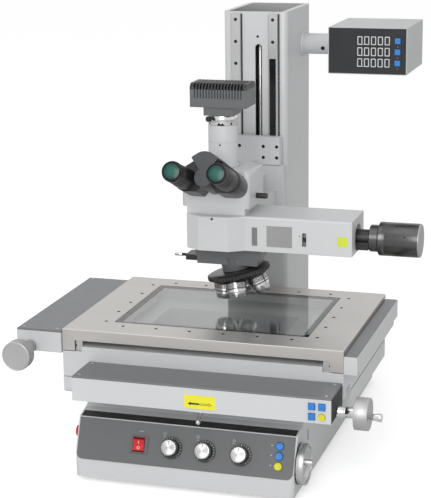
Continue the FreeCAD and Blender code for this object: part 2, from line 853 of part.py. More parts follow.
def carriage():
    """The middle carriage: grooves under it for the X rails, the Y rails on it, a nut in front."""
    body = joined(
        block(S.stage_left, stage_right, S.stage_front, stage_back, table_bottom, table_side_top),
        block(skirt_left + S.runner_gap + S.y_rail_width, skirt_right - S.runner_gap - S.y_rail_width,
              S.stage_front, stage_back, table_side_top - 1, table_top),
        block(stage_right - 1, stage_right + S.strip_gap + S.strip_width - 2, S.stage_front + 25,
              stage_back - 25, table_side_top - S.ledge_height, table_side_top))
    gap = S.x_rail_clearance
    grooves = []
    for front in (S.x_rail_front, S.x_rail_back):
        grooves.append(block(S.stage_left - 1, stage_right + 1, front - gap,
                             front + S.x_rail_width + gap, table_bottom - 1,
                             saddle_top + S.x_rail_height + S.runner_gap))
    window = block(-S.window_half_length, S.window_half_length, -S.window_half_width,
                   S.window_half_width, table_bottom - 1, table_top + 1)
    nut = x_nut()
    piece("x_carriage", joined(cut(body, window, *grooves), nut))

    rails = []
    notch = S.y_rail_notch
    wide = S.y_rail_width
    high = S.y_rail_height + S.carriage_crown
    for side, start in ((1, skirt_left + S.runner_gap), (-1, skirt_right - S.runner_gap)):
        outline = (
            (0, 0), (side * wide, 0), (side * wide, high), (0, high), (0, high / 2 + notch),
            (side * notch, high / 2), (0, high / 2 - notch))
        rail = extruded(outline, S.stage_depth - 8, (start, S.stage_front + 4, table_side_top),
                        "XZ_Plane")
        rails.append(rail)
    piece("y_rails", group(*rails))
    strip_left = stage_right + S.strip_gap
    strip = block(strip_left, strip_left + S.strip_width, S.stage_front - 3, stage_back - 4,
                  table_side_top, table_side_top + S.strip_height)
    piece("y_scale_housing", eased(strip, 1.5, lambda a, b: runs_along("y")(a, b)
                                   and min(a.z, b.z) > float(table_side_top) + 5))


def x_nut():
    """The arm and nut that the X screw drives."""
    half = S.nut_length / 2
    reach_front = S.x_wheel_back - 9
    low = S.x_wheel_height - S.screw_radius - S.clearance - 1.1
    nut = joined(
        block(x_nut_across - half, x_nut_across + half, reach_front, S.x_wheel_back + 9, low,
              table_bottom + 12),
        block(x_nut_across - half, x_nut_across + half, S.x_wheel_back + 8, S.stage_front + 1,
              table_bottom + 4, table_bottom + 12))
    return cut(nut, rod(S.screw_radius + S.clearance, S.nut_length + 2,
                        (x_nut_across - half - 1, S.x_wheel_back, S.x_wheel_height), "x"))


def stage():
    """The ground stage plate with its tapped fixture holes, side skirts, Y nut, and the glass."""
    top = block(S.stage_left, stage_right, S.stage_front, stage_back, plate_bottom, plate_top)
    skirts = [block(left, left + S.skirt_width, S.stage_front, stage_back,
                    plate_bottom - S.skirt_drop, plate_bottom + 1)
              for left in (S.stage_left, skirt_right)]
    body = joined(top, *skirts)
    body = eased(body, 1.0, lambda a, b: min(a.z, b.z) > float(plate_top) - 0.1
                 and abs(a.z - b.z) < 0.1, "Part::Chamfer")
    wide = S.glass_half_length + S.glass_gap
    deep = S.glass_half_width + S.glass_gap
    seat = block(stage_centre - wide, stage_centre + wide, window_centre - deep,
                 window_centre + deep, plate_top - S.glass_thickness, plate_top + 1)
    light = block(stage_centre - wide + S.glass_seat, stage_centre + wide - S.glass_seat,
                  window_centre - deep + S.glass_seat, window_centre + deep - S.glass_seat,
                  plate_bottom - 1, plate_top)
    holes = [rod(S.fixture_hole_radius, S.fixture_hole_depth + 1,
                 (across, back, plate_top - S.fixture_hole_depth))
             for across, back in fixture_places()]
    piece("stage_plate", joined(cut(body, seat, light, *holes), y_nut()))
    corner = float(stage_centre + S.glass_half_length) - 1
    pane = block(stage_centre - S.glass_half_length, stage_centre + S.glass_half_length,
                 window_centre - S.glass_half_width, window_centre + S.glass_half_width,
                 plate_top - S.glass_thickness, plate_top)
    piece("stage_glass", eased(pane, S.glass_corner, lambda a, b: runs_along("z")(a, b)
                               and a.x > corner and a.y < float(window_centre), "Part::Chamfer"))


def fixture_places():
    """Centres of the tapped holes: two rows of six and two columns of five."""
    places = []
    for step in range(6):
        across = stage_centre + (step - 2.5) * S.fixture_row_pitch
        places.append((across, window_centre - S.fixture_row_back))
        places.append((across, window_centre + S.fixture_row_back))
    for step in range(5):
        back = window_centre + (step - 2.0) * S.fixture_column_pitch
        places.append((stage_centre - S.fixture_column_across, back))
        places.append((stage_centre + S.fixture_column_across, back))
    return places


def y_nut():
    """The arm from the left skirt into the Y drive box, and its nut."""
    half = S.nut_length / 2
    low = y_box_bottom + S.y_box_floor + S.runner_gap
    nut = joined(
        block(S.y_wheel_across - 9, S.y_wheel_across + 9, y_nut_back - half, y_nut_back + half,
              low, y_wheel_height + 12),
        block(S.y_wheel_across + 8, S.stage_left + 1, y_nut_back - half, y_nut_back + half,
              y_wheel_height + 5, y_wheel_height + 12))
    return cut(nut, rod(S.screw_radius + S.clearance, S.nut_length + 2,
                        (S.y_wheel_across, y_nut_back - half - 1, y_wheel_height), "y"))


def x_drive():
    """The X drive box on the saddle's front, its cover, keys, clutch lever, screw and handwheel."""
    wall = S.box_wall
    outer = block(S.x_box_left, x_box_right, x_box_front, x_box_back, S.x_box_bottom,
                  x_box_top - S.cover_thickness)
    inner = block(S.x_box_left + wall, x_box_right - wall, x_box_front + wall, x_box_back - wall,
                  S.x_box_bottom + S.x_box_floor, x_box_top)
    slot = block(x_nut_across - S.x_travel - S.nut_length, x_nut_across + S.x_travel + S.nut_length,
                 x_box_back - wall - 1, x_box_back + 1, table_bottom + 2, table_bottom + 14)
    bores = [rod(S.screw_radius + S.running_fit, wall + 2,
                 (left - 1, S.x_wheel_back, S.x_wheel_height), "x")
             for left in (S.x_box_left, x_box_right - wall)]
    size = S.box_key_size
    holes = []
    names = (("blue_box_key_a", 0, 0), ("blue_box_key_b", 1, 0), ("blue_box_key_c", 0, 1),
             ("yellow_box_key", 1, 1))
    for name, column_step, row_step in names:
        across = S.box_key_left + column_step * S.box_key_pitch_across
        height = S.box_key_top - row_step * S.box_key_pitch_down
        half = size / 2
        gap = half + S.key_gap
        if name == "yellow_box_key":
            holes.append(rod(gap, wall + 2, (across, x_box_front - 1, height), "y"))
            piece(name, rod(half, S.box_key_length, (across, x_box_front - S.key_proud, height), "y"))
            continue
        holes.append(block(across - gap, across + gap, x_box_front - 1, x_box_front + wall + 1,
                           height - gap, height + gap))
        key = block(across - half, across + half, x_box_front - S.key_proud,
                    x_box_front - S.key_proud + S.box_key_length, height - half, height + half)
        piece(name, eased(key, 1.0, lambda a, b: runs_along("y")(a, b)))
    lever_bore = rod(3.0 + S.running_fit, wall + 2,
                     (S.lever_across, x_box_front + 10, S.x_box_bottom - 1))
    piece("x_drive_box", cut(outer, inner, slot, lever_bore, *bores, *holes))
    cover = block(S.x_box_left, x_box_right, x_box_front, x_box_back,
                  x_box_top - S.cover_thickness, x_box_top)
    piece("x_drive_cover", eased(cover, 1.0, lambda a, b: min(a.z, b.z) > float(x_box_top) - 0.1
                                 and abs(a.z - b.z) < 0.1, "Part::Chamfer"))
    stem = S.x_box_bottom - 8
    handle = turned(((0, 0), (2.4, 0), (2.4, S.lever_length - 3), (3.6, S.lever_length - 1),
                     (3.6, S.lever_length + 2), (2.2, S.lever_length + 3.6), (0, S.lever_length + 3.6)))
    root = V(S.lever_across.number, float(x_box_front) + 10, float(stem) + 3.7)
    droop = FreeCAD.Rotation(V(1, 0, 0), 90 + S.lever_tilt.number)
    piece("x_clutch_lever", joined(rod(3.0, 14, (S.lever_across, x_box_front + 10, stem)),
                                   moved(handle, FreeCAD.Placement(root, droop))))
    piece("x_screw", turned((
        (0, 0), (S.screw_radius, 0), (S.screw_radius, S.x_box_length + S.x_wheel_reach - 4),
        (0, S.x_box_length + S.x_wheel_reach - 4)),
        (S.x_box_left, S.x_wheel_back, S.x_wheel_height), "x"))
    wheel_start = S.x_wheel_reach
    width = S.x_wheel_width
    radius = S.x_wheel_radius
    wheel = turned((
        (S.screw_radius, S.clearance), (S.hub_radius, S.clearance), (S.hub_radius, wheel_start),
        (radius - 1.5, wheel_start), (radius, wheel_start + 1.5),
        (radius, wheel_start + width - 1.5), (radius - 1.5, wheel_start + width),
        (0, wheel_start + width), (0, wheel_start - 4), (S.screw_radius, wheel_start - 4)),
        (x_box_right, S.x_wheel_back, S.x_wheel_height), "x")
    pin = rod(S.crank_pin, S.crank_length - 2,
              (x_box_right + wheel_start + width, S.x_wheel_back - S.crank_offset,
               S.x_wheel_height), "x")
    piece("x_handwheel", joined(wheel, pin))
    piece("x_crank_knob", turned((
        (S.crank_pin + S.running_fit, 0), (3.6, 0), (S.crank_radius, S.crank_length - 3),
        (S.crank_radius - 1, S.crank_length), (0, S.crank_length), (0, S.crank_length - 1.5),
        (S.crank_pin + S.running_fit, S.crank_length - 1.5)),
        (x_box_right + wheel_start + width + S.clearance, S.x_wheel_back - S.crank_offset,
         S.x_wheel_height), "x"))


def y_drive():
    """The Y drive box on the carriage's left side, its cover, screw and handwheel."""
    wall = S.box_wall
    outer = joined(
        block(y_box_left, y_box_right, S.y_box_front, y_box_back, y_box_bottom,
              y_box_top - S.cover_thickness),
        block(y_box_left + 25, S.stage_left, S.y_box_front + S.y_box_foot_inset,
              y_box_back - S.y_box_foot_inset, y_box_bottom - 12, y_box_bottom + 1))
    inner = block(y_box_left + wall, y_box_right - wall, S.y_box_front + wall, y_box_back - wall,
                  y_box_bottom + S.y_box_floor, y_box_top)
    slot = block(y_box_right - wall - 1, y_box_right + 1,
                 y_nut_back - S.y_travel_front - S.nut_length,
                 y_nut_back + S.y_travel_back + S.nut_length, y_wheel_height + 3,
                 y_wheel_height + 14)
    bores = [rod(S.screw_radius + S.running_fit, wall + 2,
                 (S.y_wheel_across, front - 1, y_wheel_height), "y")
             for front in (S.y_box_front, y_box_back - wall)]
    piece("y_drive_box", cut(outer, inner, slot, *bores))
    cover = block(y_box_left, y_box_right, S.y_box_front, y_box_back,
                  y_box_top - S.cover_thickness, y_box_top)
    piece("y_drive_cover", eased(cover, 1.0, lambda a, b: min(a.z, b.z) > float(y_box_top) - 0.1
                                 and abs(a.z - b.z) < 0.1, "Part::Chamfer"))
    wheel_front = S.y_box_front - S.y_wheel_reach - S.y_wheel_width
    start = S.y_wheel_width - 4
    piece("y_screw", rod(S.screw_radius, y_box_back - wheel_front - start,
                         (S.y_wheel_across, wheel_front + start, y_wheel_height), "y"))
    radius = S.y_wheel_radius
    width = S.y_wheel_width
    reach = width + S.y_wheel_reach - S.clearance
    disc = turned((
        (0, 0), (radius - 1.5, 0), (radius, 1.5), (radius, width - 1.5), (radius - 1.5, width),
        (S.hub_radius, width), (S.hub_radius - 2, reach), (S.screw_radius, reach),
        (S.screw_radius, start), (0, start)),
        (S.y_wheel_across, wheel_front, y_wheel_height), "y")
    hole = rod(2.5, 8, (S.y_wheel_across - 15, wheel_front - 1, y_wheel_height + 7), "y")
    piece("y_handwheel", cut(disc, hole))


def z_drive():
    """The Z handwheel, the lay shaft to the column and the upright screw, joined by bevels."""
    shaft = S.z_shaft_radius
    bevel = S.bevel_radius
    outside = S.base_half_width + S.clearance
    radius = S.z_wheel_radius
    width = S.z_wheel_width
    small = bevel / 2
    start = small + S.bevel_gap
    end = bevel + S.bevel_gap
    wheel = turned((
        (0, start), (small, start), (bevel, end), (bevel, end + 2), (shaft + 3, end + 2),
        (shaft + 3, end + 7), (shaft, end + 7), (shaft, outside), (radius - 4, outside),
        (radius, outside + 4), (radius, outside + width - 3), (radius - 4, outside + width),
        (0, outside + width)), (0, S.z_wheel_back, S.z_wheel_height), "x")
    stub = rod(4.5, 13, (outside + width - 1, S.z_wheel_back - 21, S.z_wheel_height + 12), "x")
    piece("z_handwheel", joined(wheel, stub))

    span = z_screw_back - S.z_wheel_back
    piece("z_lay_shaft", turned((
        (0, start), (small, start), (bevel, end), (bevel, end + 2), (shaft + 3, end + 2),
        (shaft + 3, end + 7), (shaft, end + 7), (shaft, span - end - 7),
        (shaft + 3, span - end - 7), (shaft + 3, span - end - 2), (bevel, span - end - 2),
        (bevel, span - end), (small, span - start), (0, span - start)),
        (0, S.z_wheel_back, S.z_wheel_height), "y"))

    screw = S.z_screw_radius
    journal = screw - 2
    low = base_top + 12.5 - S.z_wheel_height
    high = S.z_screw_top - S.z_wheel_height
    piece("z_screw", turned((
        (0, start), (small, start), (bevel, end), (bevel, end + 2), (journal + 3, end + 2),
        (journal + 3, end + 7), (journal, end + 7), (journal, low), (screw, low),
        (screw, high - 12.5), (journal, high - 12.5), (journal, high), (0, high)),
        (0, z_screw_back, S.z_wheel_height)))


def head_slide():
    """The slide on the column: face plate, bracket to the arm, and the nut arm through the slot."""
    half = S.slide_half_width
    plate = block(-half, half, slide_front, slide_back, S.slide_bottom, S.slide_top)
    pad_bottom = S.slide_top - S.slide_pad_height
    pad = block(-half, half, slide_front - S.slide_pad_proud, slide_front + 1, pad_bottom,
                S.slide_top - 1)
    apron = block(-S.slide_low_half_width, S.slide_low_half_width,
                  slide_front - S.slide_pad_proud + 1, slide_back, S.slide_bottom, pad_bottom - 1)
    bracket = block(-S.bracket_half_width, S.bracket_half_width, S.arm_back, slide_front + 1,
                    S.bracket_bottom, arm_top - 1)
    web = block(-S.nose_half_width, S.nose_half_width, S.head_plate_back + 2, slide_front + 1,
                arm_top - 2, head_bottom + 12)
    keep = S.slot_width / 2 - S.clearance * 2
    nut_arm = joined(
        block(S.slot_across - keep, S.slot_across + keep, slide_back - 1, z_screw_back - 8,
              S.nut_arm_bottom, S.nut_arm_bottom + S.nut_arm_height),
        block(-keep - 8, keep + 8, z_screw_back - 13, z_screw_back + 13, S.nut_arm_bottom,
              S.nut_arm_bottom + S.nut_arm_height))
    nut_arm = cut(nut_arm, rod(S.z_screw_radius + S.clearance, S.nut_arm_height + 2,
                               (0, z_screw_back, S.nut_arm_bottom - 1)))
    piece("head_slide", joined(plate, pad, apron, bracket, web, nut_arm))


def illuminator():
    """The incident-light arm with its rounded nose, its aperture lever and the lamp housing."""
    front = S.arm_front
    outline = (
        (S.arm_left, S.arm_back), (S.arm_left, front), (-S.nose_half_width, front - S.nose_proud),
        (S.nose_half_width, front - S.nose_proud), (-S.arm_left, front), (S.arm_right, front),
        (S.arm_right, S.arm_back))
    arm = extruded(outline, S.arm_height, (0, 0, S.arm_bottom))
    arm = eased(arm, 3.0, lambda a, b: abs(a.z - b.z) < 0.1 and min(a.z, b.z) > float(arm_top) - 1
                and min(a.y, b.y) < float(S.arm_back) - 1 and max(a.x, b.x) < float(S.arm_right) + 1
                and not (abs(a.x - b.x) < 0.1))
    slot = block(S.aperture_across - 2.4, S.aperture_across + 2.4, front - 1, front + 9,
                 S.aperture_height - 9.5, S.aperture_height + 9.5)
    socket = rod(S.lamp_collar_radius - 4, 30, (S.arm_right - 29, S.lamp_back, S.lamp_height), "x")
    piece("illuminator_arm", cut(arm, slot, socket))
    piece("aperture_lever", block(
        S.aperture_across - 1.9, S.aperture_across + 1.9, front - 3, front + 8,
        S.aperture_height - 2.5, S.aperture_height + 2.5))
    collar = S.lamp_collar
    shoulder = collar + S.lamp_shoulder
    length = shoulder + S.lamp_length
    radius = S.lamp_radius
    piece("lamp_housing", turned((
        (0, -24), (S.lamp_collar_radius - 5, -24), (S.lamp_collar_radius - 5, 0),
        (S.lamp_collar_radius, 0), (S.lamp_collar_radius, collar), (S.lamp_shoulder_radius, collar),
        (S.lamp_shoulder_radius, shoulder), (radius, shoulder), (radius, length - 2),
        (radius - 2, length),
        (0, length)), (S.arm_right, S.lamp_back, S.lamp_height), "x"))


def tilted(item, across=0.0, up=0.0):
    """Lay a piece that was made upright on the line of sight of the eyepieces."""
    shift = FreeCAD.Placement(V(float(across), float(up), 0), FreeCAD.Rotation())
    return moved(item, view_place.multiply(shift))


def head():
    """The trinocular head: prism housing, swinging ocular tubes, eyepieces, phototube, camera."""
    plate = block(-S.head_plate_half_width, S.head_plate_half_width, S.head_front + 2,
                  S.head_plate_back, arm_top, head_bottom + 1)
    housing = block(-S.head_half_width, S.head_half_width, S.head_front, S.head_back, head_bottom,
                    head_top)
    housing = eased(housing, S.head_edge_radius, lambda a, b: runs_along("z")(a, b)
                    or (runs_along("y")(a, b) and min(a.z, b.z) > float(head_top) - 1))
    knob_bore = rod(S.path_knob_radius - 1.5, 20,
                    (S.head_half_width - 19, S.head_front + S.path_knob_back,
                     head_bottom + S.path_knob_height), "x")
    piece("head_body", cut(joined(plate, housing), knob_bore))
    piece("light_path_knob", turned((
        (0, 0), (S.path_knob_radius - 1.9, 0), (S.path_knob_radius - 1.9, 18),
        (S.path_knob_radius, 18), (S.path_knob_radius, 17 + S.path_knob_length),
        (S.path_knob_radius - 1, 18 + S.path_knob_length), (0, 18 + S.path_knob_length)),
        (S.head_half_width - 17.5, S.head_front + S.path_knob_back,
         head_bottom + S.path_knob_height), "x"))

    binocular()
    phototube()


def binocular():
    """The fixed hub with its hump, and the two tube housings that swing about it."""
    high = S.hump_height
    wide = S.hump_half_width
    lean = math.tan(math.radians(S.hump_half_angle.number))
    length = S.lobe_length
    behind = 22.0
    reach = S.tube_across + S.lobe_radius
    away = math.hypot(S.tube_across.number - wide.number, high.number)
    fall = (math.acos(S.lobe_radius.number / away) + math.pi / 2
            - math.atan2(high.number, wide.number - S.tube_across.number))
    tangent = (S.tube_across.number + S.lobe_radius.number * math.sin(fall),
               S.lobe_radius.number * math.cos(fall))
    full = extruded(((wide, high), tangent, (tangent[0], 0), (-tangent[0], 0),
                     (-tangent[0], tangent[1]), (-wide, high)), S.hump_length + behind,
                    (0, 0, -behind))
    wedge = extruded(((0, 0), (high * 1.5 * lean, high * 1.5), (high * -1.5 * lean, high * 1.5)),
                     S.hump_length + behind, (0, 0, -behind))
    hump = eased(common(full, wedge), S.hump_round, lambda a, b: runs_along("z")(a, b)
                 and min(a.y, b.y) > float(high) - 1)
    hub = joined(rod(S.pivot_radius, S.hump_length + behind, (0, 0, -behind)), hump)
    far = reach + high
    low = S.hub_height - far
    front = S.head_front - S.hump_length * 2
    piece("ocular_hub", common(tilted(hub), block(-far, far, front, S.head_front, low,
                                                  S.hub_height + far)))
    gap = S.pivot_gap
    apex = gap / math.sin(math.radians(S.hump_half_angle.number))
    clear_hump = extruded(((0, -apex), (far * lean + gap, far), (far * -lean - gap, far)),
                          length + behind + 2, (0, 0, -behind - 1))
    clear_pivot = rod(S.pivot_radius + gap, length + behind + 2, (0, 0, -behind - 1))
    in_front = block(-far, far, front, S.head_front - gap, low, S.hub_height + far)
    tube_end = length + S.tube_length
    for side, name in ((-1, "left"), (1, "right")):
        across = side * S.tube_across
        web = extruded((
            (0, 0), (side * wide, high), (side * tangent[0], tangent[1]), (across, -S.lobe_radius),
            (side * (S.lobe_radius - 2), -S.lobe_radius)), length + behind, (0, 0, -behind))
        lobe = rod(S.lobe_radius, length + behind, (across, 0, -behind))
        tube_shell = turned((
            (0, length - 4), (S.tube_radius, length - 4), (S.tube_radius, length + 3),
            (S.tube_radius - 1, length + 4), (S.tube_radius - 1, length + 12),
            (S.tube_radius - 0.4, length + 13), (S.tube_radius - 1.5, tube_end - 2),
            (S.tube_radius - 2, tube_end), (0, tube_end)), (across, 0, 0))
        bore = rod(S.eyepiece_barrel_radius + S.running_fit, S.eyepiece_barrel_length + 1,
                   (across, 0, tube_end - S.eyepiece_barrel_length))
        half = common(tilted(cut(joined(web, lobe, tube_shell), clear_hump, clear_pivot, bore)),
                      in_front)
        piece("ocular_tube_" + name, half)
        ring = S.eyepiece_radius
        barrel = S.eyepiece_barrel_radius
        deep = S.eyepiece_barrel_length - 1
        end = S.eyepiece_length
        piece("eyepiece_" + name, tilted(turned((
            (0, -deep), (barrel, -deep), (barrel, 0), (ring - 1.5, 0), (ring, 1.5), (ring, 14),
            (ring - 1, 15), (ring - 1, 17), (ring, 18), (ring, end - 3), (ring - 3, end),
            (0, end)), (across, 0, tube_end))))


def phototube():
    """The upright photo tube with its clamp ring, and the finned camera on it."""
    radius = S.phototube_radius
    height = S.phototube_height
    piece("phototube", turned((
        (0, 0), (radius + 2, 0), (radius + 2, 3), (radius, 5), (radius, height - 0.5),
        (radius - 0.5, height), (S.clamp_radius, height), (S.clamp_radius, height + S.clamp_height),
        (0, height + S.clamp_height)), (0, 0, head_top)))
    foot_bottom = head_top + height + S.clamp_height
    body_bottom = foot_bottom + S.camera_foot_height
    top = body_bottom + S.camera_height
    foot = S.camera_foot_half_width
    wide = S.camera_half_width
    deep = S.camera_half_depth
    body = block(-wide, wide, -deep, deep, body_bottom, top)
    body = eased(body, 9.0, lambda a, b: runs_along("x")(a, b) and min(a.z, b.z) > float(top) - 1)
    fins = []
    count = int(float(wide * 2 - 8) / float(S.camera_fin_pitch))
    start = -(count - 1) / 2.0 * S.camera_fin_pitch
    for step in range(count):
        left = start + step * S.camera_fin_pitch - S.camera_fin_gap / 2
        fins.append(block(left, left + S.camera_fin_gap, -deep - 1, deep + 1,
                          top - S.camera_fin_depth, top + 1))
    base_block = block(-foot, foot, -foot, foot, foot_bottom, body_bottom + 1)
    piece("camera", joined(cut(body, *fins), base_block))


def nosepiece():
    """The nosepiece block under the arm, its filter slider, the tilted turret, the objectives."""
    block_body = block(S.nose_block_left, S.nose_block_right, S.nose_block_front, S.nose_block_back,
                       nose_block_bottom, S.arm_bottom)
    depth = S.turret_depth
    hub = rod(S.turret_hub_radius, 40, (0, 0, -depth + S.clearance))
    reach = S.turret_hub_radius + S.turret_radius
    hub = common(moved(hub, turret_place),
                 block(-reach, reach, -reach, reach, S.arm_bottom - depth, S.arm_bottom - 5))
    low = nose_block_bottom - S.slider_height
    left = S.nose_block_left - S.slider_out
    carrier = block(S.nose_block_left + 2, S.nose_block_right - 6, S.slider_front - 4,
                    S.slider_front + S.slider_width + 4, low - 3, nose_block_bottom + 1)
    slot = block(S.nose_block_left - 1, left + S.slider_length + 14, S.slider_front - S.key_gap,
                 S.slider_front + S.slider_width + S.key_gap, low - S.key_gap,
                 low + S.slider_height + S.key_gap)
    clear_of_turret = moved(rod(S.turret_radius + 1, 60, (0, 0, -depth - 60 + S.clearance)), turret_place)
    piece("nosepiece_block", cut(joined(block_body, hub, carrier), slot, clear_of_turret))
    slider = joined(
        cut(block(left, left + S.slider_length, S.slider_front, S.slider_front + S.slider_width,
                  low, low + S.slider_height), clear_of_turret),
        rod(2.4, S.slider_rod, (left + 1, S.slider_front + S.slider_width / 2,
                                low + S.slider_height / 2), "-x"))
    piece("filter_slider", slider)

    radius = S.turret_radius
    thick = S.turret_thickness
    disc = turned((
        (0, -depth - thick), (radius - 13, -depth - thick), (radius - 2, -depth - thick + 7),
        (radius, -depth - thick + 8), (radius, -depth - 1), (radius - 1, -depth), (0, -depth)))
    spread = math.radians(float(S.cone_angle))
    seats = []
    lenses = []
    seat_radius = 11.0
    seat_start = float(depth + thick) / math.cos(spread) - 7
    shoulder = seat_start + S.objective_thread_length
    for step in range(4):
        way = FreeCAD.Placement(V(0, 0, 0), FreeCAD.Rotation(V(0, 0, 1), 90 * step)).multiply(
            FreeCAD.Placement(V(0, 0, 0), FreeCAD.Rotation(V(0, 1, 0), float(S.cone_angle))))
        seats.append(moved(rod(seat_radius + S.running_fit, 40, (0, 0, -seat_start - 40)), way))
        seats.append(moved(rod(S.objective_radius + S.clearance, 40, (0, 0, -shoulder - 40)), way))
        lens = objective(seat_radius, seat_start, step)
        lenses.append(moved(lens, turret_place.multiply(way)))
    piece("turret", moved(cut(disc, *seats), turret_place))
    piece("objectives", group(*lenses))


def objective(seat_radius, start, step):
    """One objective, pointing down: thread, wide barrel and tapered nose."""
    radius = S.objective_radius - (0, 2, 1, 3)[step]
    tip = S.objective_tip - (0, 1, 2, 4)[step]
    shoulder = start + S.objective_thread_length + 0.3
    return turned((
        (0, -tip), (radius - 9, -tip), (radius - 4, -tip + 5), (radius - 1.5, -tip + 7),
        (radius - 1.5, -tip + 14), (radius, -tip + 15), (radius, -shoulder),
        (seat_radius, -shoulder), (seat_radius, -start), (0, -start)))


base()
panel_controls()
column()
display()
saddle()
carriage()
stage()
x_drive()
y_drive()
z_drive()
head_slide()
illuminator()
head()
nosepiece()
doc.recompute()

faults = [item.Name for item in doc.Objects if {"Invalid", "Error"} & set(item.State)]
for name, item in pieces.items():
    if item.Shape.isNull() or not item.Shape.isValid() or not item.Shape.Solids:
        faults.append(name)
if faults:
    raise SystemExit("not built: " + ", ".join(faults))

os.makedirs("parts", exist_ok=True)
for name, item in pieces.items():
    item.Shape.exportStep("parts/%s.step" % name)
    box = item.Shape.BoundBox
    print("%-22s %d solids  X %.1f..%.1f  Y %.1f..%.1f  Z %.1f..%.1f" % (
        name, len(item.Shape.Solids), box.XMin, box.XMax, box.YMin, box.YMax, box.ZMin, box.ZMax))
print(len(pieces), "nodes")
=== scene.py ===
import math

import bmesh
import bpy
from mathutils import Matrix, Vector


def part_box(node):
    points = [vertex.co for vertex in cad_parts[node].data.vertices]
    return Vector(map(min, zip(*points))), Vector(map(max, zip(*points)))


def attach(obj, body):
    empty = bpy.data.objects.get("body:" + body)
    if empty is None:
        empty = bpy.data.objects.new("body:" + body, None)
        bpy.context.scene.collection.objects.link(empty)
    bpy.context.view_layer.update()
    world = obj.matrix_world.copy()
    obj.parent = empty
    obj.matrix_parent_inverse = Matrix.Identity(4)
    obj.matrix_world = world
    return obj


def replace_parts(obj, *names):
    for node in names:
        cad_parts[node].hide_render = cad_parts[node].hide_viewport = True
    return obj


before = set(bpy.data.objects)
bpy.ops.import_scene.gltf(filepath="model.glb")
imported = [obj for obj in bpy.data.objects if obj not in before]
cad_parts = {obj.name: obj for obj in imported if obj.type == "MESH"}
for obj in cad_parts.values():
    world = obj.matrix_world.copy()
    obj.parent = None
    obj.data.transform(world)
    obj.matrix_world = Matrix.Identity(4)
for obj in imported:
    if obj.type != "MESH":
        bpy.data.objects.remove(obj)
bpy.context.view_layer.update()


# Stand base: one hollow iron casting with a sloped front for the controls and a raised
# pedestal behind it for the slides. It is filled, rubbed down and sprayed with light
# grey enamel, and a glossy black trim strip is glued over the brow above the panel.
class Shade:
    """One socket of a material's node tree; arithmetic on it adds the Math nodes."""

    def __init__(self, tree, socket=None):
        self.tree = tree
        self.socket = socket

    def node(self, kind, settings=None, inputs=None, output=0):
        """Adds another node: its settings first, then the values or links of its sockets."""
        made = self.tree.nodes.new("ShaderNode" + kind)
        for name, value in (settings or {}).items():
            setattr(made, name, value)
        for name, value in (inputs or {}).items():
            if isinstance(value, Shade):
                self.tree.links.new(value.socket, made.inputs[name])
            else:
                made.inputs[name].default_value = value
        return Shade(self.tree, made.outputs[output])

    def math(self, operation, first, second=0.0):
        return self.node("Math", {"operation": operation}, {0: first, 1: second})

    def __add__(self, other):
        return self.math("ADD", self, other)

    def __radd__(self, other):
        return self.math("ADD", other, self)

    def __mul__(self, other):
        return self.math("MULTIPLY", self, other)

    def __rmul__(self, other):
        return self.math("MULTIPLY", other, self)

    def __gt__(self, other):
        return self.math("GREATER_THAN", self, other)

    def __lt__(self, other):
        return self.math("LESS_THAN", self, other)

    def mixed(self, low, high):
        """A colour between low and high, with this socket as the share of high."""
        return self.node("Mix", {"data_type": "RGBA"}, {0: self, 6: low, 7: high}, 2)

    def stretched(self, along):
        """This vector with each of its parts multiplied by the same part of along."""
        return self.node("VectorMath", {"operation": "MULTIPLY"}, {0: self, 1: along})

    def noise(self, scale, detail=2.0):
        return self.node("TexNoise", None, {"Vector": self, "Scale": scale, "Detail": detail})

    def part(self, axis):
        return self.node("SeparateXYZ", None, {0: self}, axis)

    def bump(self, depth, strength=1.0):
        return self.node("Bump", None, {"Height": self, "Distance": depth, "Strength": strength})


def grey(level):
    """An even grey from its level on a screen, 0 to 255."""
    return screen(level, level, level)


def screen(red, green, blue):
    """A linear colour from its levels on a screen, 0 to 255."""
    levels = [(c / 255 / 12.92 if c <= 10 else ((c / 255 + 0.055) / 1.055) ** 2.4)
              for c in (red, green, blue)]
    return (*levels, 1.0)


def new_finish(name, constants):
    """A material whose shader has these constants, and the place that its patterns start from."""
    material = bpy.data.materials.new(name)
    material.use_nodes = True
    shader = material.node_tree.nodes["Principled BSDF"]
    for socket, value in constants.items():
        shader.inputs[socket].default_value = value
    place = Shade(material.node_tree).node("TexCoord", output="Object")
    return material, place


def feed(material, links):
    """Joins worked-out values to the sockets of a material's shader."""
    shader = material.node_tree.nodes["Principled BSDF"]
    for socket, shade in links.items():
        material.node_tree.links.new(shade.socket, shader.inputs[socket])
    return material


def darker(colour, share):
    return (colour[0] * share, colour[1] * share, colour[2] * share, 1.0)


def enamel(name, colour, roughness=0.38, inside=None):
    """Sprayed enamel: soft clouds in the colour, a fine orange peel and faint wiping marks.
    inside gives a part of the piece that is made near-black: black paint on the camera's finned top,
    painted shade in the column's shaft and on its slot's sides."""
    material, place = new_finish(name, {"Specular IOR Level": 0.45, "Coat Weight": 0.12,
                                        "Coat Roughness": 0.2})
    clouds = place.noise(7.0, 3.0)
    body = clouds.mixed(darker(colour, 0.96), darker(colour, 1.04))
    # near-black where inside picks: real black paint on some pieces, painted shade on others
    if inside is not None:
        body = inside(place).mixed(body, grey(26))
    wiping = place.stretched((1.0, 1.0, 0.25)).noise(60.0, 4.0)
    peel = place.noise(650.0, 2.0)
    return feed(material, {"Base Color": body, "Roughness": roughness - 0.05 + wiping * 0.1,
                           "Normal": peel.bump(0.00005, 0.5)})


def break_edges(piece, width):
    """Bevels a piece's sharp edges, as on the real one."""
    broken = piece.modifiers.new("broken edges", "BEVEL")
    broken.width = width
    broken.segments = 2
    broken.limit_method = "ANGLE"
    broken.angle_limit = math.radians(35)
    broken.harden_normals = True


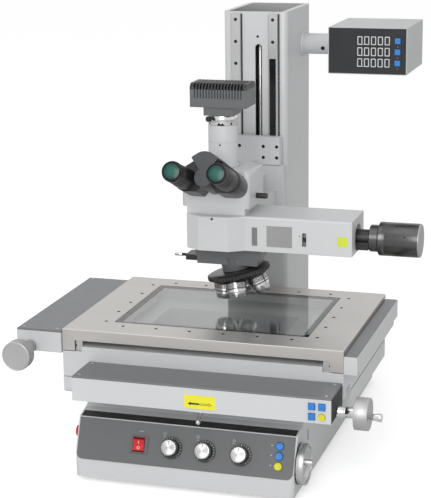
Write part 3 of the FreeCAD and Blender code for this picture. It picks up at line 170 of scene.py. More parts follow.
def dress(node, material, edge=0.0005):
    """Gives a CAD node its finish and breaks its sharp edges as the real piece's are."""
    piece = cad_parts[node]
    piece.data.materials.clear()
    piece.data.materials.append(material)
    if edge:
        weld = piece.modifiers.new("joined faces", "WELD")
        weld.merge_threshold = 1e-6
        whole = piece.modifiers.new("whole faces", "DECIMATE")
        whole.decimate_type = "DISSOLVE"
        whole.angle_limit = math.radians(1)
        break_edges(piece, edge)
    return piece


def placed(origin, out, up=None):
    """A frame at origin with its Z along out and its Y as near to up as that allows. Left out,
    up is the room's, or the back for a frame that looks straight up."""
    depth = Vector(out).normalized()
    if up is None:
        up = (0, 1, 0) if depth.z > 0.999 else (0, 0, 1)
    across = Vector(up).cross(depth).normalized()
    turned_to = Matrix((across, depth.cross(across), depth)).transposed()
    return Matrix.Translation(origin) @ turned_to.to_4x4()


def facing(x, y, z):
    """A frame on a front face: X to the right, Y up, Z towards the user."""
    return placed((x, y, z), (0, -1, 0))


def rightwards(x, y, z):
    """A frame on a right side: Y up, Z to the right."""
    return placed((x, y, z), (1, 0, 0))


def prism(mesh, outline, depth, place, start=0.0):
    """Adds an outline drawn in place's X and Y, thickened along its Z from start to depth."""
    low = [mesh.verts.new(place @ Vector((x, y, start))) for x, y in outline]
    high = [mesh.verts.new(place @ Vector((x, y, depth))) for x, y in outline]
    mesh.faces.new(low[::-1])
    mesh.faces.new(high)
    for i in range(len(outline)):
        j = (i + 1) % len(outline)
        mesh.faces.new((low[i], low[j], high[j], high[i]))


def made(name, mesh, material, body, slot, place=None, edge=0.0):
    """Turns a mesh into a piece of the object, with smooth curves and crisp corners."""
    bmesh.ops.recalc_face_normals(mesh, faces=mesh.faces)
    for side in mesh.edges:
        bends = len(side.link_faces) != 2 or side.calc_face_angle(0.0) > math.radians(40)
        side.smooth = not bends
    for face in mesh.faces:
        face.smooth = True
    data = bpy.data.meshes.new(name)
    mesh.to_mesh(data)
    mesh.free()
    piece = bpy.data.objects.new(name, data)
    bpy.context.scene.collection.objects.link(piece)
    if place is not None:
        piece.matrix_world = place
    data.materials.append(material)
    if edge:
        break_edges(piece, edge)
    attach(piece, body)
    return piece


def slab(name, outline, depth, place, material, body, slot, start=0.0, edge=0.0):
    """Makes a piece of the object from one outline, thickened out of place's plane."""
    mesh = bmesh.new()
    prism(mesh, outline, depth, place, start)
    made(name, mesh, material, body, slot, edge=edge)


light_grey = screen(203, 204, 205)
light_paint = enamel("light_paint", light_grey)
dress("base_casting", light_paint, 0.0012)


def moulded(name, colour, roughness=0.42, grain=0.00003, shine=0.5):
    """Moulded plastic: an even colour with faint flow marks and a spark-eroded grain."""
    material, place = new_finish(name, {"Specular IOR Level": shine})
    flow = place.noise(25.0, 2.0)
    spark = place.noise(1800.0, 2.0)
    body = flow.mixed(darker(colour, 0.92), darker(colour, 1.06))
    return feed(material, {"Base Color": body, "Roughness": roughness - 0.04 + flow * 0.08,
                           "Normal": spark.bump(grain, 0.6)})


gloss_black = moulded("gloss_black", grey(22), 0.16, 0.00001)
brow_half = 0.1682
brow_profile = [(-0.2041, 0.0962), (-0.1895, 0.0996)]
brow_sheet = 0.0005
outline = brow_profile + [(y + 0.0002, z + brow_sheet) for y, z in brow_profile[::-1]]
slab("brow_trim", outline, brow_half * 2, rightwards(-brow_half, 0, 0), gloss_black, "stand",
     "black_plastic", edge=0.0002)

# Painted shade: a thin gloss black sheet on the base's right side stands for the cable slit's opening.
cable_slit = (-0.142, 0.0765)
slab("side_slit_shade", [(-0.0022, -0.0085), (0.0022, -0.0085), (0.0022, 0.0085), (-0.0022, 0.0085)], 0.0002,
     rightwards(0.171, *cable_slit), gloss_black, "stand", "black_plastic", start=-0.0005)


# Underside: a steel floor plate screwed up into the casting, and four levelling feet cased
# in rubber that carry the whole stand on the bench.
def rolled_steel(name, colour, roughness):
    """Rolled or turned steel: fine marks one way and a brightness that wanders."""
    material, place = new_finish(name, {"Metallic": 1.0})
    marks = place.stretched((1.0, 1.0, 14.0)).noise(220.0, 3.0)
    tone = place.noise(18.0, 2.0)
    return feed(material, {"Base Color": tone.mixed(darker(colour, 0.88), colour),
                           "Roughness": roughness - 0.06 + marks * 0.14,
                           "Normal": marks.bump(0.00002, 0.4)})


steel = rolled_steel("steel", grey(178), 0.34)
rubber = moulded("rubber", grey(38), 0.75, 0.0001, 0.3)
dress("base_floor", steel)
dress("levelling_feet", rubber)


# Lower lamp: an aluminium barrel in the pedestal that sends light up through the slides,
# closed by a domed condenser lens held in a turned ring.
def ring_of(radius, count):
    """Points round a circle, as an outline for a prism."""
    return [(radius * math.cos(2 * math.pi * i / count),
             radius * math.sin(2 * math.pi * i / count)) for i in range(count)]


def turned(mesh, profile, place, turns=64):
    """Adds a turned shape: rings of (radius, height) round place's Z, each with an optional
    third entry that gives the share of the radius at an angle."""
    rings = []
    for radius, height, *shape in profile:
        if radius < 1e-7:
            rings.append([mesh.verts.new(place @ Vector((0, 0, height)))])
            continue
        ring = []
        for i in range(turns):
            angle = 2 * math.pi * i / turns
            reach = radius * (shape[0](angle) if shape else 1.0)
            ring.append(mesh.verts.new(place @ Vector((reach * math.cos(angle),
                                                       reach * math.sin(angle), height))))
        rings.append(ring)
    for low, high in zip(rings, rings[1:]):
        for i in range(turns):
            j = (i + 1) % turns
            if len(low) == 1:
                mesh.faces.new((low[0], high[j], high[i]))
            elif len(high) == 1:
                mesh.faces.new((low[i], low[j], high[0]))
            else:
                mesh.faces.new((low[i], low[j], high[j], high[i]))


def lathe(name, profile, turns, material, body, slot, place):
    """Makes a piece of the object from one turned shape round place's Z."""
    mesh = bmesh.new()
    turned(mesh, profile, Matrix(), turns)
    return made(name, mesh, material, body, slot, place)


def spun(name, colour, roughness, line=900.0, brushed=0.0):
    """Lathe-turned metal: fine rings round the piece's own axis and a satin sheen."""
    material, place = new_finish(name, {"Metallic": 1.0, "Anisotropic": brushed})
    across = place.part("X") * place.part("X") + place.part("Y") * place.part("Y")
    rings = place.node("CombineXYZ", None, {
        "X": across.math("SQRT", across), "Y": place.part("Z")}).noise(line, 2.0)
    tone = place.noise(40.0, 2.0)
    return feed(material, {"Base Color": tone.mixed(darker(colour, 0.9), colour),
                           "Roughness": roughness - 0.05 + rings * 0.12,
                           "Normal": rings.bump(0.000015, 0.5)})


def clear_glass(name, tint, roughness, scale, detail=3.0):
    """Polished glass with a faint, uneven film on it."""
    material, place = new_finish(name, {
        "Transmission Weight": 1.0, "IOR": 1.5, "Base Color": tint})
    return feed(material, {"Roughness": roughness + place.noise(scale, detail) * 0.03})


dark_aluminium = enamel("dark_aluminium", grey(88), 0.34)
bright_ring = spun("bright_ring", grey(205), 0.2)
dress("lamp_condenser", dark_aluminium)
lens_glass = clear_glass("lens_glass", screen(228, 238, 236), 0.02, 30.0)
condenser_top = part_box("lamp_condenser")[1].z
at_condenser = placed((0, 0, condenser_top), (0, 0, 1))
lathe("condenser_ring", [
    (0.031, 0), (0.0365, 0), (0.0365, 0.001), (0.0355, 0.0016), (0.032, 0.0016), (0.031, 0.0008),
    (0.031, 0)], 64, bright_ring, "stand", "chrome", at_condenser)
lathe("condenser_lens", [
    (0, 0.0001), (0.0308, 0.0001), (0.0306, 0.0006), (0.024, 0.0014), (0.012, 0.0021), (0, 0.0023)],
    64, lens_glass, "stand", "glass", at_condenser)


# Control panel: a dark grey printed sheet let into the sloped front, with a black scale
# ring for each lamp dial, a bezel for the mains rocker and small white pictograms.
panel_foot = Vector((0, -0.229, 0.035))
slope = math.atan2(0.025, 0.061)
panel_up = Vector((0, math.sin(slope), math.cos(slope)))
panel_out = Vector((0, -math.cos(slope), math.sin(slope)))


def on_panel(across, up, out):
    """A frame on the sloped panel: X to the right, Y up the slope, Z towards the user."""
    at = panel_foot + Vector((across, 0, 0)) + panel_up * up + panel_out * out
    return placed(at, panel_out, panel_up)


def bar(width, height, radius=0.0, steps=4):
    """An upright rectangle about the origin, with rounded corners where radius is given."""
    if radius <= 0:
        return [(-width / 2, -height / 2), (width / 2, -height / 2),
                (width / 2, height / 2), (-width / 2, height / 2)]
    points = []
    for corner, (x, y) in enumerate(((1, -1), (1, 1), (-1, 1), (-1, -1))):
        for step in range(steps + 1):
            angle = math.pi / 2 * (corner - 1 + step / steps)
            points.append((x * (width / 2 - radius) + radius * math.cos(angle),
                           y * (height / 2 - radius) + radius * math.sin(angle)))
    return points


def frame_of(mesh, outer, inner, depth, place, start=0.0):
    """Adds a flat frame between two outlines that have as many points as each other."""
    loops = []
    for outline, height in ((outer, start), (outer, depth), (inner, depth), (inner, start)):
        loops.append([mesh.verts.new(place @ Vector((x, y, height))) for x, y in outline])
    for one, other in zip(loops, loops[1:] + loops[:1]):
        for i in range(len(outer)):
            j = (i + 1) % len(outer)
            mesh.faces.new((one[i], one[j], other[j], other[i]))


panel_grey = enamel("panel_grey", screen(96, 97, 98), 0.46)
ring_black = moulded("ring_black", grey(28), 0.35)
print_white = moulded("print_white", grey(226), 0.5, 0.00001)
print_pale = moulded("print_pale", grey(176), 0.5, 0.00001)
dress("control_panel", panel_grey, 0.0003)
dials = ("transmitted_dial", "incident_dial", "ring_dial")
dial_places = {name: (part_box(name)[0].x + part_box(name)[1].x) / 2 for name in dials}
lamp_keys = ("yellow_lamp_key", "blue_lamp_key_low", "blue_lamp_key_top")
lamp_key_ups = [(sum(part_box(name), Vector()) / 2 - panel_foot).dot(panel_up) for name in lamp_keys]
dial_up = 0.031
ring_out = 0.0035
scale_marks = 19
scale_sweep = math.radians(280)
rings = bmesh.new()
marks = bmesh.new()
for across in dial_places.values():
    centre = on_panel(across, dial_up, ring_out)
    frame_of(rings, ring_of(0.0167, 64), ring_of(0.0128, 64), 0.0003, centre, -0.001)
    for i in range(scale_marks):
        angle = math.pi / 2 + scale_sweep * (i / (scale_marks - 1) - 0.5)
        long = 0.0024 if i % 3 == 0 else 0.0015
        tick = centre @ Matrix.Rotation(angle, 4, "Z") @ Matrix.Translation((0.0147, 0, 0))
        prism(marks, bar(long, 0.00045), 0.00045, tick, 0.0002)
made("dial_scale_rings", rings, ring_black, "stand", "black_plastic")
made("dial_scale_marks", marks, print_white, "stand", "light_plastic")

pictograms = bmesh.new()
for across in dial_places.values():
    lamp = on_panel(across - 0.0125, 0.0505, 0.002)
    frame_of(pictograms, ring_of(0.0021, 20), ring_of(0.0015, 20), 0.0002, lamp)
    for i in range(3):
        ray = lamp @ Matrix.Rotation(math.pi * (i + 0.5) / 3, 4, "Z")
        prism(pictograms, bar(0.0011, 0.0004), 0.0002, ray @ Matrix.Translation((0.0032, 0, 0)))
    prism(pictograms, bar(0.0045, 0.0006), 0.0002, on_panel(across - 0.0125, 0.0462, 0.002))
rocker_across = -0.0705
prism(pictograms, bar(0.0075, 0.0008), 0.0002, on_panel(rocker_across + 0.002, 0.0512, 0.002))
for up in lamp_key_ups:
    prism(pictograms, bar(0.0022, 0.0022, 0.0008), 0.0002, on_panel(0.1342, up + 0.0006, 0.002))
made("panel_pictograms", pictograms, print_pale, "stand", "light_plastic")

bezel_grey = moulded("bezel_grey", screen(92, 58, 58), 0.4)
mesh = bmesh.new()
frame_of(mesh, bar(0.0212, 0.0242, 0.0015), bar(0.0176, 0.0206, 0.0006), 0.0045,
         on_panel(rocker_across, dial_up, 0.0), 0.0012)
made("rocker_bezel", mesh, bezel_grey, "stand", "black_plastic", edge=0.0004)


# Panel controls: three lamp dials of fluted, silver anodised aluminium on plastic skirts,
# a red mains rocker, three domed keys on the right and a red stop button on the left side.
def fluted(count, depth):
    """The share of the radius round a rim that has this many shallow flutes."""
    return lambda angle: 1 - depth * (0.5 - 0.5 * math.cos(count * angle))


silver_cap = spun("silver_cap", grey(196), 0.3, 700.0, 0.75)
dial_low = 0.0039
dial_tall = 0.015
for name, across in dial_places.items():
    place = on_panel(across, dial_up, dial_low)
    lathe(name + "_skirt", [
        (0, 0), (0.0125, 0), (0.0125, 0.0022), (0.0119, 0.003), (0.0117, 0.004), (0, 0.004)],
        64, ring_black, name + "_body", "black_plastic", place)
    grip = fluted(30, 0.06)
    cap = lathe(name + "_cap", [
        (0, 0.0031), (0.0116, 0.0031), (0.0124, 0.004, grip), (0.0121, 0.013, grip),
        (0.0117, dial_tall - 0.0006, fluted(30, 0.02)), (0.0109, dial_tall), (0.0099, dial_tall),
        (0.0095, dial_tall - 0.0005), (0, dial_tall - 0.0002)],
        240, silver_cap, name + "_body", "silver_anodised", place)
    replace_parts(cap, name)
    pointer = bmesh.new()
    prism(pointer, bar(0.0008, 0.0042, 0.0003), dial_tall + 0.00005,
          Matrix.Translation((0, 0.0074, 0)), dial_tall - 0.001)
    made(name + "_pointer", pointer, ring_black, name + "_body", "black_plastic", place)

rocker_red = moulded("rocker_red", screen(206, 24, 30), 0.28)
dress("mains_rocker", rocker_red, 0.0005)
rocker_marks = bmesh.new()
low_face = math.atan2(0.0046 - 0.005, 0.0304 - 0.0223)
high_face = math.atan2(0.0069 - 0.0046, 0.0382 - 0.0304)
low_mark = on_panel(rocker_across, 0.0264, 0.0048) @ Matrix.Rotation(low_face, 4, "X")
high_mark = on_panel(rocker_across, 0.0343, 0.00575) @ Matrix.Rotation(high_face, 4, "X")
frame_of(rocker_marks, ring_of(0.0023, 24), ring_of(0.0016, 24), 0.0002, low_mark, -0.0002)
prism(rocker_marks, bar(0.0008, 0.0046), 0.0002, high_mark, -0.0002)
made("rocker_marks", rocker_marks, print_white, "mains_rocker_body", "light_plastic")

key_blue = moulded("key_blue", screen(40, 122, 200), 0.36)
key_yellow = moulded("key_yellow", screen(214, 209, 40), 0.38)
key_finishes = ((key_yellow, "yellow_plastic"), (key_blue, "blue_plastic"), (key_blue, "blue_plastic"))
for name, up, (finish, slot) in zip(lamp_keys, lamp_key_ups, key_finishes):
    key = lathe(name + "_button", [
        (0, -0.002), (0.006, -0.002), (0.006, 0.0036), (0.0056, 0.0044), (0.0046, 0.0049),
        (0.003, 0.0047), (0, 0.0045)], 64, finish, name + "_body", slot, on_panel(0.146, up, 0))
    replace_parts(key, name)

button_red = moulded("button_red", screen(206, 30, 44), 0.3)
stop_at = placed((-0.1605, -0.2, 0.07), (-1, 0, 0))
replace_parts(lathe("stop_button_cap", [
    (0, 0), (0.006, 0), (0.006, 0.004), (0.009, 0.0045), (0.009, 0.0145), (0.0082, 0.0163),
    (0.005, 0.017), (0, 0.0168)], 48, button_red, "stop_button_body", "red_plastic", stop_at),
            "stop_button")
mesh = bmesh.new()
frame_of(mesh, ring_of(0.0125, 48), ring_of(0.0096, 48), 0.0012,
         placed((-0.171, -0.2, 0.07), (-1, 0, 0)), -0.0005)
made("stop_button_collar", mesh, ring_black, "stand", "black_plastic", edge=0.0003)


# Column: a hollow iron casting bolted to the back of the base, slotted down its front for
# the slide's nut, with two ground steel guide strips screwed to it. Its sheet steel rear
# cover carries the mains inlet and a vent, and closes the shaft of the Z screw.
def column_shaft_shade(place):
    """1 inside the column's shaft and on the sides of its slot, where near-black is painted as shade; 0
    on its painted skin.
    """
    within = (place.part("Y") > 0.1875) * (place.part("Y") < 0.338)
    return within * (place.part("X") < 0.045) * (place.part("X") > -0.045)


# The column's enamel, with painted shade: near-black inside its shaft and on its slot's sides.
column_paint_and_shade = enamel("column_paint_and_shade", light_grey, 0.38, column_shaft_shade)
dress("column", column_paint_and_shade, 0.001)


def ground_steel(name, colour, along, roughness):
    """Ground steel: long fine grinding lines, a faint cross pattern and a warm grey cast."""
    material, place = new_finish(name, {"Metallic": 0.75, "Specular IOR Level": 0.5})
    lines = place.stretched(along).noise(1500.0, 3.0)
    sweep = place.stretched(along).noise(90.0, 2.0)
    clouds = place.noise(8.0, 2.0)
    body = (sweep * 0.5 + clouds * 0.5).mixed(darker(colour, 0.9), darker(colour, 1.05))
    return feed(material, {"Base Color": body, "Roughness": roughness - 0.08 + lines * 0.16,
                           "Normal": lines.bump(0.00002, 0.5)})


way_steel = ground_steel("way_steel", grey(190), (1.0, 1.0, 0.05), 0.32)
dress("z_guide_strips", way_steel, 0.0004)
strip_low, strip_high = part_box("z_guide_strips")
strip_front = strip_low.y
strip_top_screw = 0.6602
strip_pitch = 0.036
strip_across = strip_high.x - 0.00825


def hexagon(angle):
    """The share of the corner radius round a six-sided socket."""
    return math.cos(math.pi / 6) / math.cos(angle % (math.pi / 3) - math.pi / 6)


def cap_screw(mesh, place, radius, tall):
    """A socket head screw with its six-sided recess, standing tall out of place's plane."""
    deep = max(tall * 0.3, tall - radius * 0.9)
    turned(mesh, [
        (radius, -0.0002), (radius, tall - radius * 0.12), (radius * 0.88, tall), (radius * 0.58, tall),
        (radius * 0.55, tall, hexagon), (radius * 0.55, deep, hexagon), (0, deep)], place, 24)


def screws(name, spots, out, radius, tall, material, body):
    """Makes a piece of like screws at these spots, with all their heads facing out."""
    mesh = bmesh.new()
    for spot in spots:
        cap_screw(mesh, placed(spot, out), radius, tall)
    made(name, mesh, material, body, "steel")


dark_screw = rolled_steel("dark_screw", grey(52), 0.4)
bright_screw = rolled_steel("bright_screw", grey(190), 0.28)
screws("guide_strip_screws", [
    (side * strip_across, strip_front, strip_top_screw - step * strip_pitch)
    for side in (-1, 1) for step in range(11)], (0, -1, 0), 0.0029, 0.00025, dark_screw, "stand")

slot_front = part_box("column")[0].y
# Painted shade: thin black sheets in the shadow gap beside each guide strip, and a black disc in the
# small hole above the slot.
mesh = bmesh.new()
for side in (-1, 1):
    shaded_groove = side * strip_across + 0.0092
    prism(mesh, bar(0.0018, 0.372), 0.0002, facing(shaded_groove, slot_front, 0.483))
turned(mesh, [(0.0022, -0.0001), (0.0022, 0.0002), (0, 0.0002)],
       facing(0.0045, slot_front, 0.6323), 24)
made("column_gap_and_hole_shade", mesh, ring_black, "stand", "black_plastic")
# Painted reflection: a gloss black sheet over the lower front of the right guide strip, where its
# polished steel mirrors something dark.
reflection_low, reflection_high = 0.3, 0.597
slab("right_strip_painted_reflection", bar(0.0108, reflection_high - reflection_low, 0.0004), 0.00015,
     facing(0.0311, strip_front, (reflection_low + reflection_high) / 2), gloss_black, "stand",
     "black_plastic")

cover_paint = enamel("cover_paint", screen(112, 113, 116), 0.42)
column_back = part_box("column")[1].y
cover_thick = 0.0022
cover_back = column_back + cover_thick
rear_middle = 0.395
rear_half_wide = 0.044
rear_half_tall = 0.262
slab("column_rear_cover", bar(rear_half_wide * 2, rear_half_tall * 2, 0.006), cover_thick,
     placed((0, column_back, rear_middle), (0, 1, 0)), cover_paint, "stand", "dark_paint", edge=0.0006)
screws("rear_cover_screws", [
    (side * (rear_half_wide - 0.007), cover_back, rear_middle + step * (rear_half_tall - 0.008))
    for side in (-1, 1) for step in (-1, -0.34, 0.34, 1)],
    (0, 1, 0), 0.003, 0.0018, dark_screw, "stand")
# Painted shade: the vent's openings are thin black bars on the cover.
mesh = bmesh.new()
for row in range(9):
    place = placed((0, cover_back, 0.585 - row * 0.0075), (0, 1, 0))
    prism(mesh, bar(0.052, 0.003, 0.0014), 0.0002, place)
made("rear_vent_slot_shade", mesh, ring_black, "stand", "black_plastic")
inlet_at = placed((0, cover_back, 0.182), (0, 1, 0))
mesh = bmesh.new()
frame_of(mesh, bar(0.048, 0.03, 0.004), bar(0.0265, 0.0195, 0.003), 0.0026, inlet_at)
prism(mesh, bar(0.0262, 0.0192, 0.003), 0.0003, inlet_at)
for across in (-0.007, 0.0, 0.007):
    pin = inlet_at @ Matrix.Translation((across, -0.0025 if across else 0.003, 0))
    prism(mesh, bar(0.0022, 0.0052, 0.0004), 0.002, pin)
made("mains_inlet", mesh, ring_black, "stand", "black_plastic", edge=0.0003)


# Display arm: a painted steel tube out of the column's side, with a fork at its end that
# holds the pivot pin of the read-out.
dress("display_arm", light_paint, 0.0006)
arm_back = 0.296
mesh = bmesh.new()
collar_at = rightwards(0.0538, arm_back, 0.61)
turned(mesh, [(0.0176, 0), (0.0205, 0), (0.0205, 0.003), (0.0198, 0.0038), (0.0176, 0.0038),
              (0.0176, 0)], collar_at)
made("display_arm_collar", mesh, light_paint, "stand", "light_paint", edge=0.0003)
screws("display_arm_screw", [(0.092, arm_back - 0.0166, 0.6045)], (0, -0.95, -0.3), 0.0032, 0.0012,
       dark_screw, "stand")


# Read-out: a light grey moulded case with a black acrylic window, three rows of numerals
# behind it and a column of three blue keys, each with a small lamp under it.
case_paint = enamel("case_paint", screen(190, 193, 193), 0.5)
dress("display_case", case_paint, 0.0009)
case_low, case_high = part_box("display_case")
display_keys = ("display_key_low", "display_key_middle", "display_key_top")
window_inset = 0.0012
window_back = case_low.y + 0.001
window_centre = (case_low + case_high) / 2
acrylic = moulded("acrylic", screen(43, 45, 48), 0.14, 0.000004)
key_low, key_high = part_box("display_key_low")
window_low, window_high = case_low.z + window_inset, case_high.z - window_inset
gap = 0.0004
key_left, key_right = key_low.x - gap, key_high.x + gap
panes = [(case_low.x + window_inset, key_left, window_low, window_high),
         (key_right, case_high.x - window_inset, window_low, window_high)]
edges = [window_low]
for name in display_keys:
    low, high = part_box(name)
    edges += [low.z - gap, high.z + gap]
edges.append(window_high)
panes += [(key_left, key_right, low, high) for low, high in zip(edges[::2], edges[1::2])]
mesh = bmesh.new()
for left, right, low, high in panes:
    prism(mesh, [(left, low), (right, low), (right, high), (left, high)], 0.0004,
          facing(0, window_back, 0))
bmesh.ops.remove_doubles(mesh, verts=mesh.verts, dist=1e-7)
made("display_window", mesh, acrylic, "display", "black_plastic")

numeral = moulded("numeral", grey(205), 0.5, 0.000004)
numeral_wide, numeral_tall, numeral_line = 0.0078, 0.013, 0.0013
first_numeral = 0.1966
numeral_pitch = 0.01068
numeral_rows = (0.6074, 0.6244, 0.6414)
mesh = bmesh.new()
for height in numeral_rows:
    for step in range(5):
        place = facing(first_numeral + step * numeral_pitch, window_back - 0.0004, height)
        frame_of(mesh, bar(numeral_wide, numeral_tall, 0.0009, 2),
                 bar(numeral_wide - numeral_line * 2, numeral_tall - numeral_line * 2, 0.0003, 2),
                 0.00012, place)
    point = facing(first_numeral + 0.0053, window_back - 0.0004, height - 0.0058)
    prism(mesh, bar(0.0012, 0.0012), 0.00012, point)
made("display_numerals", mesh, numeral, "display", "light_plastic")
mesh = bmesh.new()
for name in display_keys:
    low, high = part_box(name)
    place = facing((low.x + high.x) / 2, window_back - 0.0004, low.z - 0.0042)
    prism(mesh, bar(0.0016, 0.0016, 0.0005), 0.00015, place)
    dress(name, key_blue, 0.0008)
made("display_key_lamps", mesh, moulded("lamp_green", screen(96, 128, 104), 0.4), "display",
     "light_plastic")
screws("display_case_screws", [
    (window_centre.x + side * 0.052, case_low.y + 0.1405, window_centre.z + level * 0.027)
    for side in (-1, 1) for level in (-1, 1)], (0, 1, 0), 0.0026, 0.0012, dark_screw, "display")


# X saddle: a painted casting bolted on the pedestal, with ground rails along X, an end bar
# on its right, and the window that lets the lower lamp's light through.
dress("x_saddle", light_paint, 0.0008)


# X drive: a folded light grey box along the saddle's front with a dark screwed lid and a
# black end plate, a yellow direction label, a clutch lever and four keys. A steel screw
# runs through it to a satin handwheel with a crank knob.
box_paint = enamel("box_paint", light_grey)
dress("x_drive_box", box_paint, 0.0008)
dress("x_drive_cover", cover_paint, 0.0007)
box_low, box_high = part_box("x_drive_box")


def lid_screws(name, lid, body):
    """The four screws that hold a drive box's lid, each 9 mm in from its edges."""
    low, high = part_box(lid)
    inset = 0.009
    spots = [(x, y, high.z) for x in (low.x + inset, high.x - inset)
             for y in (low.y + inset, high.y - inset)]
    screws(name, spots, (0, 0, 1), 0.0024, 0.0006, bright_screw, body)


lid_screws("x_lid_screws", "x_drive_cover", "stand")
end_black = moulded("end_black", grey(10), 0.62)
plate_front, plate_low = box_low.y + 0.0006, box_low.z + 0.0006
slab("x_box_end_plate", [
    (plate_front, plate_low), (box_high.y, plate_low), (box_high.y, box_high.z),
    (plate_front, box_high.z)],
    0.0003, rightwards(box_high.x, 0, 0), end_black, "stand", "black_plastic")

label_yellow = moulded("label_yellow", screen(232, 226, 40), 0.45, 0.00001)
label_wide, label_tall = 0.047, 0.0205
label_at = facing(0.0339, box_low.y, 0.1496)
slab("direction_label", bar(label_wide, label_tall, 0.0012), 0.0002, label_at, label_yellow, "stand",
     "yellow_plastic")
arrow = [(-0.0185, 0), (-0.0135, -0.0028), (-0.0135, -0.0013), (-0.0005, -0.0013),
         (-0.0005, 0.0013), (-0.0135, 0.0013), (-0.0135, 0.0028)]
arrow_place = label_at @ Matrix.Translation((0, -0.0028, 0.0002))
mesh = bmesh.new()
prism(mesh, arrow, 0.0001, arrow_place)
thin = 0.0006
other = [(-x, y) for x, y in arrow[::-1]]
sunk = [(-0.0185 + thin * 2.2, 0), (-0.0135 - thin, -0.0028 + thin * 1.7),
        (-0.0135 - thin, -0.0013 + thin), (-0.0005 - thin, -0.0013 + thin),
        (-0.0005 - thin, 0.0013 - thin), (-0.0135 - thin, 0.0013 - thin),
        (-0.0135 - thin, 0.0028 - thin * 1.7)]
inner = [(-x, y) for x, y in sunk[::-1]]
frame_of(mesh, other, inner, 0.0001, arrow_place)
made("direction_arrows", mesh, ring_black, "stand", "black_plastic")
slab("clutch_stop_plate", bar(0.04, 0.0034, 0.0008), 0.0012,
     facing(0.036, box_low.y, box_low.z + 0.0018), light_paint, "stand", "light_paint",
     edge=0.0003)

chrome = spun("chrome", grey(214), 0.14, 1400.0)
dress("x_clutch_lever", chrome, 0.0004)
for name in ("blue_box_key_a", "blue_box_key_b", "blue_box_key_c"):
    dress(name, key_blue, 0.0009)
dress("yellow_box_key", key_yellow, 0.0009)
dress("x_screw", steel)

satin_wheel = spun("satin_wheel", grey(186), 0.5, 500.0)
wheel_at = rightwards(box_high.x + 0.0004, -0.208, 0.142)
lathe("x_wheel_collar", [
    (0, 0), (0.0072, 0), (0.008, 0.0008), (0.008, 0.0115), (0.0076, 0.012), (0.0076, 0.0135),
    (0.008, 0.014), (0.008, 0.0277), (0, 0.0277)], 64, chrome, "x_drive", "chrome", wheel_at)
wheel = lathe("x_wheel_rim", [
    (0.0078, 0.0276), (0.012, 0.0276), (0.013, 0.0283), (0.0222, 0.0283), (0.0237, 0.0279),
    (0.024, 0.0289), (0.024, 0.0474), (0.0232, 0.0484), (0.0214, 0.0484), (0.0206, 0.0477),
    (0.01, 0.0477), (0.008, 0.0472), (0, 0.0472)], 96, satin_wheel, "x_drive", "steel", wheel_at)
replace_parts(wheel, "x_handwheel")
mesh = bmesh.new()
for turn, along in ((-0.55, 0.0065), (-0.55, 0.0195), (0.5, 0.0195)):
    around = wheel_at @ Matrix.Rotation(turn, 4, "Z")
    out = (around.to_3x3() @ Vector((1, 0, 0))).normalized()
    centre = wheel_at @ Vector((0, 0, along)) + out * 0.0079
    cap_screw(mesh, placed(centre, out, (1, 0, 0)), 0.0014, 0.0003)
made("x_wheel_set_screws", mesh, dark_screw, "x_drive", "steel")
knob_low, knob_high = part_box("x_crank_knob")
knob_middle = (knob_low + knob_high) / 2
knob = lathe("x_crank_grip", [
    (0, 0), (0.0034, 0), (0.0038, 0.0004), (0.0052, 0.01), (0.0062, 0.0164), (0.006, 0.0182),
    (0.0052, 0.019), (0, 0.019)],
    48, chrome, "x_crank", "chrome", rightwards(knob_low.x, knob_middle.y, knob_middle.z))
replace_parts(knob, "x_crank_knob")


# Carriage: the middle slide, a painted casting grooved over the X rails, with the two
# ground Y rails on it and the covered scale of the Y reading along its right side.
dress("x_carriage", light_paint, 0.0008)
dress("y_rails", way_steel, 0.0004)


def scale_top(place):
    """1 on the dark lid of the Y scale's housing."""
    return place.part("Z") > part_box("y_scale_housing")[1].z - 0.0004


def two_tone(name, colour, top_colour, top):
    """Enamel in one colour, with the part that top picks out in another."""
    material, place = new_finish(name, {"Specular IOR Level": 0.45, "Coat Weight": 0.1})
    clouds = place.noise(9.0, 3.0)
    low = clouds.mixed(darker(colour, 0.96), darker(colour, 1.04))
    high = clouds.mixed(darker(top_colour, 0.95), darker(top_colour, 1.05))
    peel = place.noise(650.0, 2.0)
    return feed(material, {"Base Color": top(place).mixed(low, high),
                           "Roughness": 0.36 + clouds * 0.1, "Normal": peel.bump(0.00005, 0.5)})


scale_paint = two_tone("scale_paint", light_grey, screen(112, 113, 116), scale_top)
dress("y_scale_housing", scale_paint, 0.0005)


# Y drive: the matching box along the table's left side with its screwed dark lid, its
# screw, and a knurled silver handwheel at the front.
dress("y_drive_box", box_paint, 0.0008)
dress("y_drive_cover", cover_paint, 0.0007)
lid_screws("y_lid_screws", "y_drive_cover", "x_table")
dress("y_screw", steel)
y_wheel_at = facing(-0.2605, -0.1754, 0.191)
knurl = fluted(72, 0.035)
wheel = lathe("y_wheel_disc", [
    (0, 0), (0.0095, 0), (0.01, 0.0006), (0.01, 0.0364), (0.0205, 0.037), (0.0222, 0.0374),
    (0.023, 0.0384, knurl), (0.023, 0.0552, knurl), (0.0222, 0.0562), (0.0212, 0.0566),
    (0.0206, 0.056), (0.004, 0.0556), (0, 0.0556)], 288, satin_wheel, "y_drive", "steel", y_wheel_at)
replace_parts(wheel, "y_handwheel")
# Painted shade: black discs set into the wheel's face stand for its two small holes.
mesh = bmesh.new()
for radius, across, up in ((0.0016, -0.015, 0.007), (0.0011, -0.003, 0.0155)):
    turned(mesh, [(radius, 0.055), (radius, 0.0558), (0, 0.0558)],
           Matrix.Translation((across, up, 0)), 24)
made("y_wheel_hole_shade", mesh, ring_black, "y_drive", "black_plastic", y_wheel_at)


